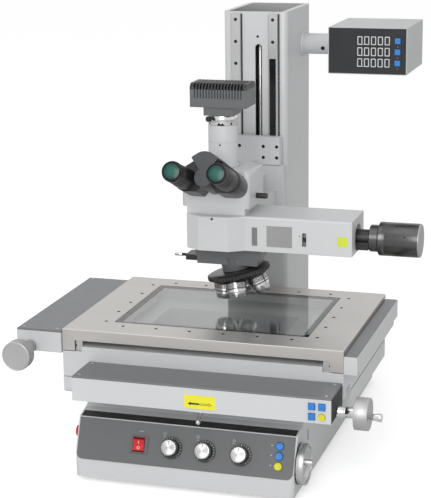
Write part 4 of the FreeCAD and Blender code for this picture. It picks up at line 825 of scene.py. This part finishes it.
# Stage: a ground steel plate with rows of fixing holes and side skirts over the Y rails,
# and a plate glass insert with a ground corner, bedded in a thin black seal.
stage_steel = ground_steel("stage_steel", screen(194, 191, 188), (0.05, 1.0, 1.0), 0.36)
dress("stage_plate", stage_steel, 0.0007)
plate_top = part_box("stage_plate")[1].z
hole_shade_black = moulded("hole_shade_black", grey(14), 0.6)
hole_centre = Vector((0.011, -0.008, plate_top))
hole_spots = [(0.0534 * (step - 2.5), side * 0.128) for step in range(6) for side in (-1, 1)]
hole_spots += [(side * 0.168, 0.0547 * (step - 2)) for step in range(5) for side in (-1, 1)]
# Painted shade: a black rim and a black floor in each fixing hole, for the shade inside it.
mesh = bmesh.new()
for across, back in hole_spots:
    turned(mesh, [(0.0027, -0.0002), (0.0027, 0.0001), (0.002, 0.0001), (0.0018, -0.0012), (0, -0.0012)],
           placed(hole_centre + Vector((across, back, 0)), (0, 0, 1)), 24)
made("stage_hole_shade", mesh, hole_shade_black, "stage", "black_plastic")
stage_glass = clear_glass("stage_glass", screen(229, 231, 231), 0.0, 20.0, 4.0)
dress("stage_glass", stage_glass, 0.0004)
glass_low, glass_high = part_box("stage_glass")
corner = 0.013


def glass_outline(spread):
    """The glass's outline with its ground front right corner, spread outwards."""
    left, right = glass_low.x - spread, glass_high.x + spread
    front, back = glass_low.y - spread, glass_high.y + spread
    cut = corner + spread * 0.4
    return [(left, front), (right - cut, front), (right, front + cut), (right, back), (left, back)]


mesh = bmesh.new()
frame_of(mesh, glass_outline(0.0009), glass_outline(-0.0003), glass_high.z + 0.0001,
         Matrix(), glass_high.z - 0.001)
made("glass_seal", mesh, ring_black, "stage", "rubber")


# Z drive: the handwheel on the base's right side, a dished silver disc on a thin
# rubber seal, and the shafts that lead from it to the screw in the column.
z_wheel_at = rightwards(0.1714, -0.196, 0.051)
silver_disc = spun("silver_disc", grey(200), 0.26, 600.0, 0.6)
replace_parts(lathe("z_wheel_rim", [
    (0.026, 0.0016), (0.0306, 0.0016), (0.031, 0.0022), (0.031, 0.0115), (0.03, 0.0128),
    (0.0275, 0.013), (0.0268, 0.012), (0.026, 0.0016)],
    96, silver_disc, "z_wheel", "silver_anodised", z_wheel_at), "z_handwheel")
lathe("z_wheel_seal", [
    (0.0262, 0), (0.0302, 0), (0.0308, 0.0006), (0.0308, 0.0015), (0.0262, 0.0015), (0.0262, 0)],
    96, rubber, "z_wheel", "rubber", z_wheel_at)
lathe("z_wheel_disc", [
    (0, 0.0002), (0.0262, 0.0002), (0.0268, 0.01), (0.0255, 0.0114), (0.0235, 0.011),
    (0.019, 0.0068), (0.012, 0.006), (0.0105, 0.0085), (0.0095, 0.0092), (0, 0.0092)],
    96, silver_disc, "z_wheel", "silver_anodised", z_wheel_at)
lathe("z_wheel_stub", [
    (0, 0.004), (0.0034, 0.004), (0.0034, 0.0118), (0.0042, 0.0124), (0.0045, 0.0134), (0.0045, 0.0238),
    (0.004, 0.0247), (0, 0.0249)], 48, chrome, "z_wheel", "chrome", rightwards(0.1714, -0.217, 0.063))
dress("z_lay_shaft", steel)
dress("z_screw", steel)


# Head slide: the painted carriage that the Z screw lifts along the guide strips, with a
# socket-screwed face pad and a bracket that carries the illuminator arm.
dress("head_slide", light_paint, 0.0008)
pad_front = 0.161
pad_row, pad_low_row = 0.4546, 0.4363
screws("slide_pad_screws", [
    (x, pad_front, z) for x, z in (
        (0.02, pad_row), (0.0427, pad_row), (0.02, pad_low_row), (0.0427, pad_low_row),
        (-0.0209, pad_row), (-0.0427, pad_row))], (0, -1, 0), 0.0028, 0.0004, dark_screw, "head")
screws("slide_clamp_screw", [(0.004, pad_front, 0.4247)], (0.3, -0.9, 0.3), 0.0034, 0.0035,
       ring_black, "head")


# Illuminator arm: a light grey casting with a rounded, flat-fronted nose over the turret.
# On its front are a grey window, a blank data plate, the aperture lever and a blank square.
dress("illuminator_arm", light_paint, 0.001)
arm_front = -0.0456
plate_grey = moulded("plate_grey", grey(150), 0.4, 0.00001)
window_grey = moulded("window_grey", grey(122), 0.3, 0.00001)
square_lime = moulded("square_lime", screen(206, 220, 60), 0.4, 0.00001)
for name, left, right, low, high, finish, slot in (
        ("arm_window", 0.058, 0.0667, 0.3384, 0.3672, window_grey, "panel_grey"),
        ("arm_data_plate", 0.0815, 0.1217, 0.338, 0.3708, plate_grey, "grey_aluminium"),
        ("arm_square", 0.1918, 0.208, 0.3448, 0.3598, square_lime, "yellow_plastic")):
    place = facing((left + right) / 2, arm_front, (low + high) / 2)
    slab(name, bar(right - left, high - low, 0.0006), 0.0003, place, finish, "head", slot, edge=0.0001)
screws("arm_nose_screw", [(-0.0015, -0.06, 0.38)], (0, -1, 0), 0.002, 0.0004, dark_screw, "head")
dress("aperture_lever", ring_black, 0.0003)
mesh = bmesh.new()
frame_of(mesh, bar(0.0062, 0.0205), bar(0.0046, 0.0189), 0.0002,
         facing(0.1407, arm_front, 0.352))
turned(mesh, [(0.0009, 0), (0.0009, 0.0002), (0, 0.0002)],
       facing(0.1335, arm_front, 0.3576), 16)
made("aperture_scale", mesh, ring_black, "head", "black_plastic")


# Upper lamp: a bayonet collar in a black socket on the arm's right end, a stepped black
# shoulder and a dark turned housing with a light, slightly crowned end cap.
lamp_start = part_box("illuminator_arm")[1].x
lamp_at = rightwards(lamp_start, -0.003, 0.351)
lamp_grey = spun("lamp_grey", grey(92), 0.26, 300.0)
cap_grey = spun("cap_grey", grey(176), 0.45, 500.0)
lamp_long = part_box("lamp_housing")[1].x - lamp_start
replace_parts(lathe("lamp_barrel", [
    (0, 0), (0.0125, 0), (0.0125, 0.0196), (0.02, 0.02), (0.0208, 0.0208), (0.0208, 0.0328),
    (0.0202, 0.0334), (0.0202, 0.034), (0.025, 0.0341), (0.026, 0.0351), (0.026, 0.044),
    (0.02575, 0.0444), (0.02575, 0.045), (0.026, 0.0454), (0.026, lamp_long - 0.0032),
    (0.0252, lamp_long - 0.003), (0, lamp_long - 0.003)],
    96, lamp_grey, "head", "dark_aluminium", lamp_at), "lamp_housing")
lathe("lamp_end_cap", [
    (0, lamp_long - 0.0031), (0.0256, lamp_long - 0.0031), (0.026, lamp_long - 0.0026),
    (0.0258, lamp_long - 0.0012), (0.0248, lamp_long - 0.0002), (0.0235, lamp_long),
    (0, lamp_long - 0.0002)], 96, cap_grey, "head", "grey_aluminium", lamp_at)
screw_out = Vector((0, -0.93, 0.37)).normalized()
screws("lamp_set_screws", [lamp_at @ Vector((0, 0, along)) + screw_out * 0.0259
                           for along in (0.048, 0.076)],
       screw_out, 0.0015, 0.0004, dark_screw, "head")
mesh = bmesh.new()
frame_of(mesh, ring_of(0.021, 64), ring_of(0.0126, 64), 0.0004, lamp_at)
made("lamp_socket_ring", mesh, ring_black, "head", "black_plastic")
mesh = bmesh.new()
frame_of(mesh, ring_of(0.0129, 64), ring_of(0.0123, 64), 0.0192, lamp_at)
prism(mesh, bar(0.0195, 0.012, 0.001), 0.0172,
      facing(lamp_start + 0.0101, -0.003, 0.341), 0.008)
made("lamp_latch", mesh, ring_black, "head", "black_plastic", edge=0.0004)


# Head: the light grey prism housing on its dovetail plate, with the black pull knob that
# sends the light to the eyepieces or to the camera.
dress("head_body", light_paint, 0.0014)
head_front = -0.046
screws("head_side_screw", [(0.0406, head_front, 0.444)], (0, -1, 0), 0.0016, 0.0004, dark_screw, "head")
knob_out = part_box("light_path_knob")
knob_at = rightwards(knob_out[0].x, -0.005, 0.4085)
knob_long = knob_out[1].x - knob_out[0].x
knob_wide = (knob_out[1].z - knob_out[0].z) / 2
grip = fluted(24, 0.06)
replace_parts(lathe("path_knob_grip", [
    (0, 0), (knob_wide * 0.5, 0), (knob_wide * 0.5, knob_long * 0.45),
    (knob_wide * 0.92, knob_long * 0.47), (knob_wide, knob_long * 0.52, grip),
    (knob_wide, knob_long * 0.92, grip), (knob_wide * 0.9, knob_long), (0, knob_long)],
    96, ring_black, "light_path_knob_body", "black_plastic", knob_at),
            "light_path_knob")


# Binocular: a dark moulded hub with two swinging lobes, each with its slim black tube, and
# push-in eyepieces with rubber cups, ribbed grips and coated green eye lenses.
binocular_at = Vector((0, head_front, 0.4305))
binocular_tilt = math.radians(21)
eye_out = Vector((0, -math.cos(binocular_tilt), math.sin(binocular_tilt)))
eye_up = Vector((0, math.sin(binocular_tilt), math.cos(binocular_tilt)))
lobe_end = binocular_at.dot(eye_out) + 0.0412


def beyond_lobe(place):
    """1 on the slim black end of an ocular tube, 0 on the lobe behind it."""
    return place.part("Y") * eye_out.y + place.part("Z") * eye_out.z > lobe_end


ocular_colour = screen(62, 63, 66)
ocular_grey = moulded("ocular_grey", ocular_colour, 0.38, 0.00004)
ocular_paint = two_tone("ocular_paint", ocular_colour, grey(24), beyond_lobe)
eyecup_black = moulded("eyecup_black", grey(20), 0.36, 0.00003)
dress("ocular_hub", ocular_grey, 0.0012)
eye_coating, place = new_finish("eye_coating", {
    "Specular IOR Level": 0.3, "Coat Weight": 0.1, "Coat Roughness": 0.1})
# The coating's own green tint, painted darker towards the lens's rim as painted shade.
from_axis = place.part("X") * place.part("X") + place.part("Y") * place.part("Y")
rim_shade_share = from_axis.math("MULTIPLY", from_axis, 1 / 0.0128 ** 2)
feed(eye_coating, {"Base Color": rim_shade_share.mixed(screen(38, 98, 88), screen(14, 44, 43)),
                   "Roughness": 0.22 + place.noise(60.0, 3.0) * 0.05})
lens_ring = spun("lens_ring", grey(110), 0.3)
eye_spread = 0.0344
eye_tube = 0.084
for side, across in (("left", -eye_spread), ("right", eye_spread)):
    body = "ocular_" + side + "_side"
    dress("ocular_tube_" + side, ocular_paint, 0.0008)
    at = placed(binocular_at + Vector((across, 0, 0)) + eye_out * eye_tube, eye_out, eye_up)
    mesh = bmesh.new()
    rib = []
    for step in range(5):
        start = 0.0062 + step * 0.0026
        rib += [(0.0151, start), (0.0158, start + 0.0004), (0.0158, start + 0.0015),
                (0.0151, start + 0.0019)]
    turned(mesh, [
        (0, 0.0002), (0.0146, 0.0002), (0.016, 0.001), (0.016, 0.0052), (0.0151, 0.0058), *rib,
        (0.0154, 0.0192), (0.016, 0.0204), (0.016, 0.0252), (0.015, 0.0262), (0.015, 0.0276),
        (0.0146, 0.0298), (0.014, 0.0304), (0.0136, 0.03), (0.0134, 0.028), (0, 0.028)], Matrix(), 72)
    cup = made("eyecup_" + side, mesh, eyecup_black, body, "rubber", at)
    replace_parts(cup, "eyepiece_" + side)
    lathe("eye_lens_ring_" + side, [
        (0.0126, 0.0278), (0.0134, 0.0278), (0.0134, 0.029), (0.013, 0.0294), (0.0127, 0.029),
        (0.0126, 0.0278)], 72, lens_ring, body, "chrome", at)
    lathe("eye_lens_" + side, [
        (0, 0.0279), (0.0127, 0.0279), (0.0126, 0.0284), (0.009, 0.0292), (0.0045, 0.0296), (0, 0.0297)],
        72, eye_coating, body, "glass", at)


# Camera port: a light grey tube on the head with a chromed clamp ring and its black
# thumbscrew, which hold the camera's foot.
dress("phototube", light_paint, 0.0006)
mesh = bmesh.new()
tube_at = placed((0, 0, 0), (0, 0, 1))
turned(mesh, [(0.0228, 0.4914), (0.0231, 0.4914), (0.0231, 0.4922), (0.0228, 0.4922),
              (0.0228, 0.4914)], tube_at)
made("port_ring_line", mesh, way_steel, "head", "steel")
lathe("port_clamp_ring", [
    (0.0218, 0.5178), (0.0222, 0.5178), (0.0226, 0.5184), (0.0226, 0.5236), (0.0221, 0.524),
    (0.0221, 0.5252), (0.0226, 0.5256), (0.0226, 0.5326), (0.0221, 0.5333), (0.0218, 0.5333),
    (0.0218, 0.5178)], 72, chrome, "head", "chrome", tube_at)
clamp_out = Vector((-0.5, -0.87, 0)).normalized()
grip = fluted(16, 0.1)
lathe("port_clamp_knob", [
    (0, 0), (0.0022, 0), (0.0022, 0.004), (0.0042, 0.0046), (0.0044, 0.0056, grip),
    (0.0044, 0.0105, grip), (0.0036, 0.0112), (0, 0.0112)], 64, ring_black, "head", "black_plastic",
    placed(Vector((0, 0, 0.529)) + clamp_out * 0.0222, clamp_out))
mesh = bmesh.new()
for turn in (-1.3, -0.5, 0.4):
    out = Vector((math.sin(turn + 0.5), -math.cos(turn + 0.5), 0))
    cap_screw(mesh, placed(Vector((0, 0, 0.521)) + out * 0.0225, out), 0.0016, 0.0004)
cap_screw(mesh, placed((0.0016, -0.02285, 0.4885), (0.07, -1, 0)), 0.0014, 0.0004)
made("port_screws", mesh, dark_screw, "head", "steel")


# Camera: a dark grey aluminium body with black cooling fins over its rounded top and fine
# grooves along its front, on a square foot.
camera_low, camera_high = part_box("camera")


def camera_crown(place):
    """1 on the finned top of the camera, which is left black."""
    return place.part("Z") > camera_high.z - 0.0095


camera_colour = screen(98, 99, 101)
camera_grey = enamel("camera_grey", camera_colour, 0.4)
camera_paint = enamel("camera_paint", camera_colour, 0.4, camera_crown)
dress("camera", camera_paint, 0.0005)
# Painted shade: the fine grooves along the front are thin black bars.
mesh = bmesh.new()
for step in range(17):
    shaded_groove = -0.0368 + step * 0.0046
    place = facing(shaded_groove, camera_low.y, camera_high.z - 0.0161)
    prism(mesh, bar(0.0016, 0.014, 0.0007, 2), 0.0003, place)
made("camera_groove_shade", mesh, ring_black, "head", "black_plastic")


# Nosepiece mount: the dark grey painted block under the arm, which carries the turret, and
# the black filter slider in its slot with a chromed pull rod.
dress("nosepiece_block", camera_grey, 0.0007)
dress("filter_slider", ring_black, 0.0004)
slider_low, slider_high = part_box("filter_slider")
mesh = bmesh.new()
rod_at = rightwards(slider_low.x, -0.004, (slider_low.z + slider_high.z) / 2)
turned(mesh, [(0, 0), (0.0022, 0), (0.0026, 0.0005), (0.0026, 0.012), (0.0022, 0.0125),
              (0.0022, 0.03), (0, 0.03)], rod_at, 32)
made("filter_pull_rod", mesh, chrome, "filter_slider_body", "chrome")


# Turret: a black anodised disc with a knurled rim that turns on an axis leaning 13 degrees,
# and the four chromed objectives screwed into it, each with black grip and index rings.
turret_lean = math.radians(13)
turret_down = Vector((math.sin(turret_lean), 0, -math.cos(turret_lean)))
turret_from = (0, 0, 0.384)
turret_at = placed(turret_from, turret_down, (0, 1, 0))
anodised_black = moulded("anodised_black", grey(34), 0.3, 0.00001)
knurl = fluted(60, 0.03)
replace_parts(lathe("turret_disc", [
    (0, 0.0982), (0.04, 0.0982), (0.0462, 0.0988), (0.0486, 0.0996, knurl), (0.05, 0.1006, knurl),
    (0.05, 0.1062, knurl), (0.0484, 0.1072, knurl), (0.0462, 0.108), (0.038, 0.1138), (0, 0.114)],
    240, anodised_black, "nosepiece", "black_anodised", turret_at), "turret")
mesh = bmesh.new()
bands = bmesh.new()
shoulder = 0.1105
grip_low, grip_high = 0.1186, 0.1268
grip = fluted(48, 0.02)
for quarter, shorter in enumerate((0.0, 0.002, 0.001, 0.003)):
    around = Matrix.Rotation(math.pi / 2 * quarter, 4, turret_down)
    down = around @ Vector((0, 0, -1))
    place = placed(turret_from, down, around @ Vector((0, 1, 0)))
    tip = 0.144 - shorter
    turned(mesh, [
        (0, shoulder - 0.004), (0.015, shoulder - 0.004), (0.015, shoulder),
        (0.0163, shoulder + 0.0006, grip), (0.0163, shoulder + 0.0052, grip),
        (0.015, shoulder + 0.006), (0.015, shoulder + 0.0078), (0.0163, shoulder + 0.0084),
        (0.0163, tip - 0.0125), (0.0152, tip - 0.0118), (0.0152, tip - 0.0088), (0.0144, tip - 0.0082),
        (0.0128, tip - 0.001), (0.012, tip), (0.0062, tip), (0.0058, tip - 0.0006), (0, tip - 0.0008)],
        place, 192)
    turned(bands, [(0.0161, tip - 0.0145), (0.01645, tip - 0.0145), (0.01645, tip - 0.013),
                   (0.0161, tip - 0.013), (0.0161, tip - 0.0145)], place, 64)
    turned(bands, [
        (0.016, grip_low), (0.0163, grip_low), (0.0165, grip_low + 0.0004, grip),
        (0.0165, grip_high - 0.0004, grip), (0.0163, grip_high), (0.016, grip_high), (0.016, grip_low)],
        place, 192)
objective = made("objective_barrels", mesh, chrome, "nosepiece", "chrome")
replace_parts(objective, "objectives")
made("objective_bands", bands, anodised_black, "nosepiece", "black_anodised")


# Studio: a pale floor under a soft frontal light and an even white surround, seen through
# a long lens from above and to the right.
floor_paint = bpy.data.materials.new("floor_paint")
floor_paint.use_nodes = True
tree = floor_paint.node_tree
shader = tree.nodes["Principled BSDF"]
shader.inputs["Base Color"].default_value = grey(244)
shader.inputs["Roughness"].default_value = 0.9
shader.inputs["Specular IOR Level"].default_value = 0.1
rays = Shade(tree).node("LightPath", output="Is Camera Ray")
tree.links.new((rays * 0.47).socket, shader.inputs["Emission Strength"])
shader.inputs["Emission Color"].default_value = (1, 1, 1, 1)
mesh = bmesh.new()
prism(mesh, ring_of(9.0, 96), 0.0, Matrix(), -0.01)
data = bpy.data.meshes.new("floor")
mesh.to_mesh(data)
mesh.free()
data.materials.append(floor_paint)
floor = bpy.data.objects.new("floor", data)
bpy.context.scene.collection.objects.link(floor)

world = bpy.data.worlds.new("studio")
world.use_nodes = True
bpy.context.scene.world = world
background = world.node_tree.nodes["Background"]
paths = Shade(world.node_tree)
seen = paths.node("LightPath", output="Is Camera Ray") + paths.node("LightPath", output="Is Glossy Ray")
seen = seen + paths.node("LightPath", output="Is Transmission Ray")
background.inputs["Color"].default_value = (1, 1, 1, 1)
surround = 0.55
strength = surround + (1 - surround) * seen.math("MINIMUM", seen, 1.0)
world.node_tree.links.new(strength.socket, background.inputs["Strength"])


def bearing(turn, rise):
    """The way from the object to a place so far round from the front, and so high up."""
    return Vector((math.sin(turn) * math.cos(rise), -math.cos(turn) * math.cos(rise), math.sin(rise)))


def soft_box(name, azimuth, elevation, distance, size, power):
    """A square studio light that looks at the middle of the object."""
    lamp = bpy.data.lights.new(name, "AREA")
    lamp.shape = "SQUARE"
    lamp.size = size
    lamp.energy = power
    back = bearing(math.radians(azimuth), math.radians(elevation))
    holder = bpy.data.objects.new(name, lamp)
    holder.matrix_world = placed(Vector((0, 0, 0.3)) + back * distance, back)
    bpy.context.scene.collection.objects.link(holder)


soft_box("key_light", 8, 24, 3.4, 1.8, 52)
soft_box("top_light", -30, 70, 3.0, 2.2, 10)

camera_yaw = math.radians(17.24)
camera_rise = math.radians(14.08)
camera_roll = math.radians(-0.71)
camera_from = Vector((0.6927, -2.2795, 0.9159))
back = bearing(camera_yaw, camera_rise)
level_right = Vector((math.cos(camera_yaw), math.sin(camera_yaw), 0))
level_up = back.cross(level_right)
right = level_right * math.cos(camera_roll) + level_up * math.sin(camera_roll)
up = level_up * math.cos(camera_roll) - level_right * math.sin(camera_roll)
lens = bpy.data.cameras.new("camera_view")
lens.lens = 112.5
lens.sensor_width = 36
viewer = bpy.data.objects.new("camera_view", lens)
viewer.matrix_world = Matrix.Translation(camera_from) @ Matrix((right, up, back)).transposed().to_4x4()
bpy.context.scene.collection.objects.link(viewer)
bpy.context.scene.camera = viewer
bpy.context.scene.view_settings.view_transform = "Standard"
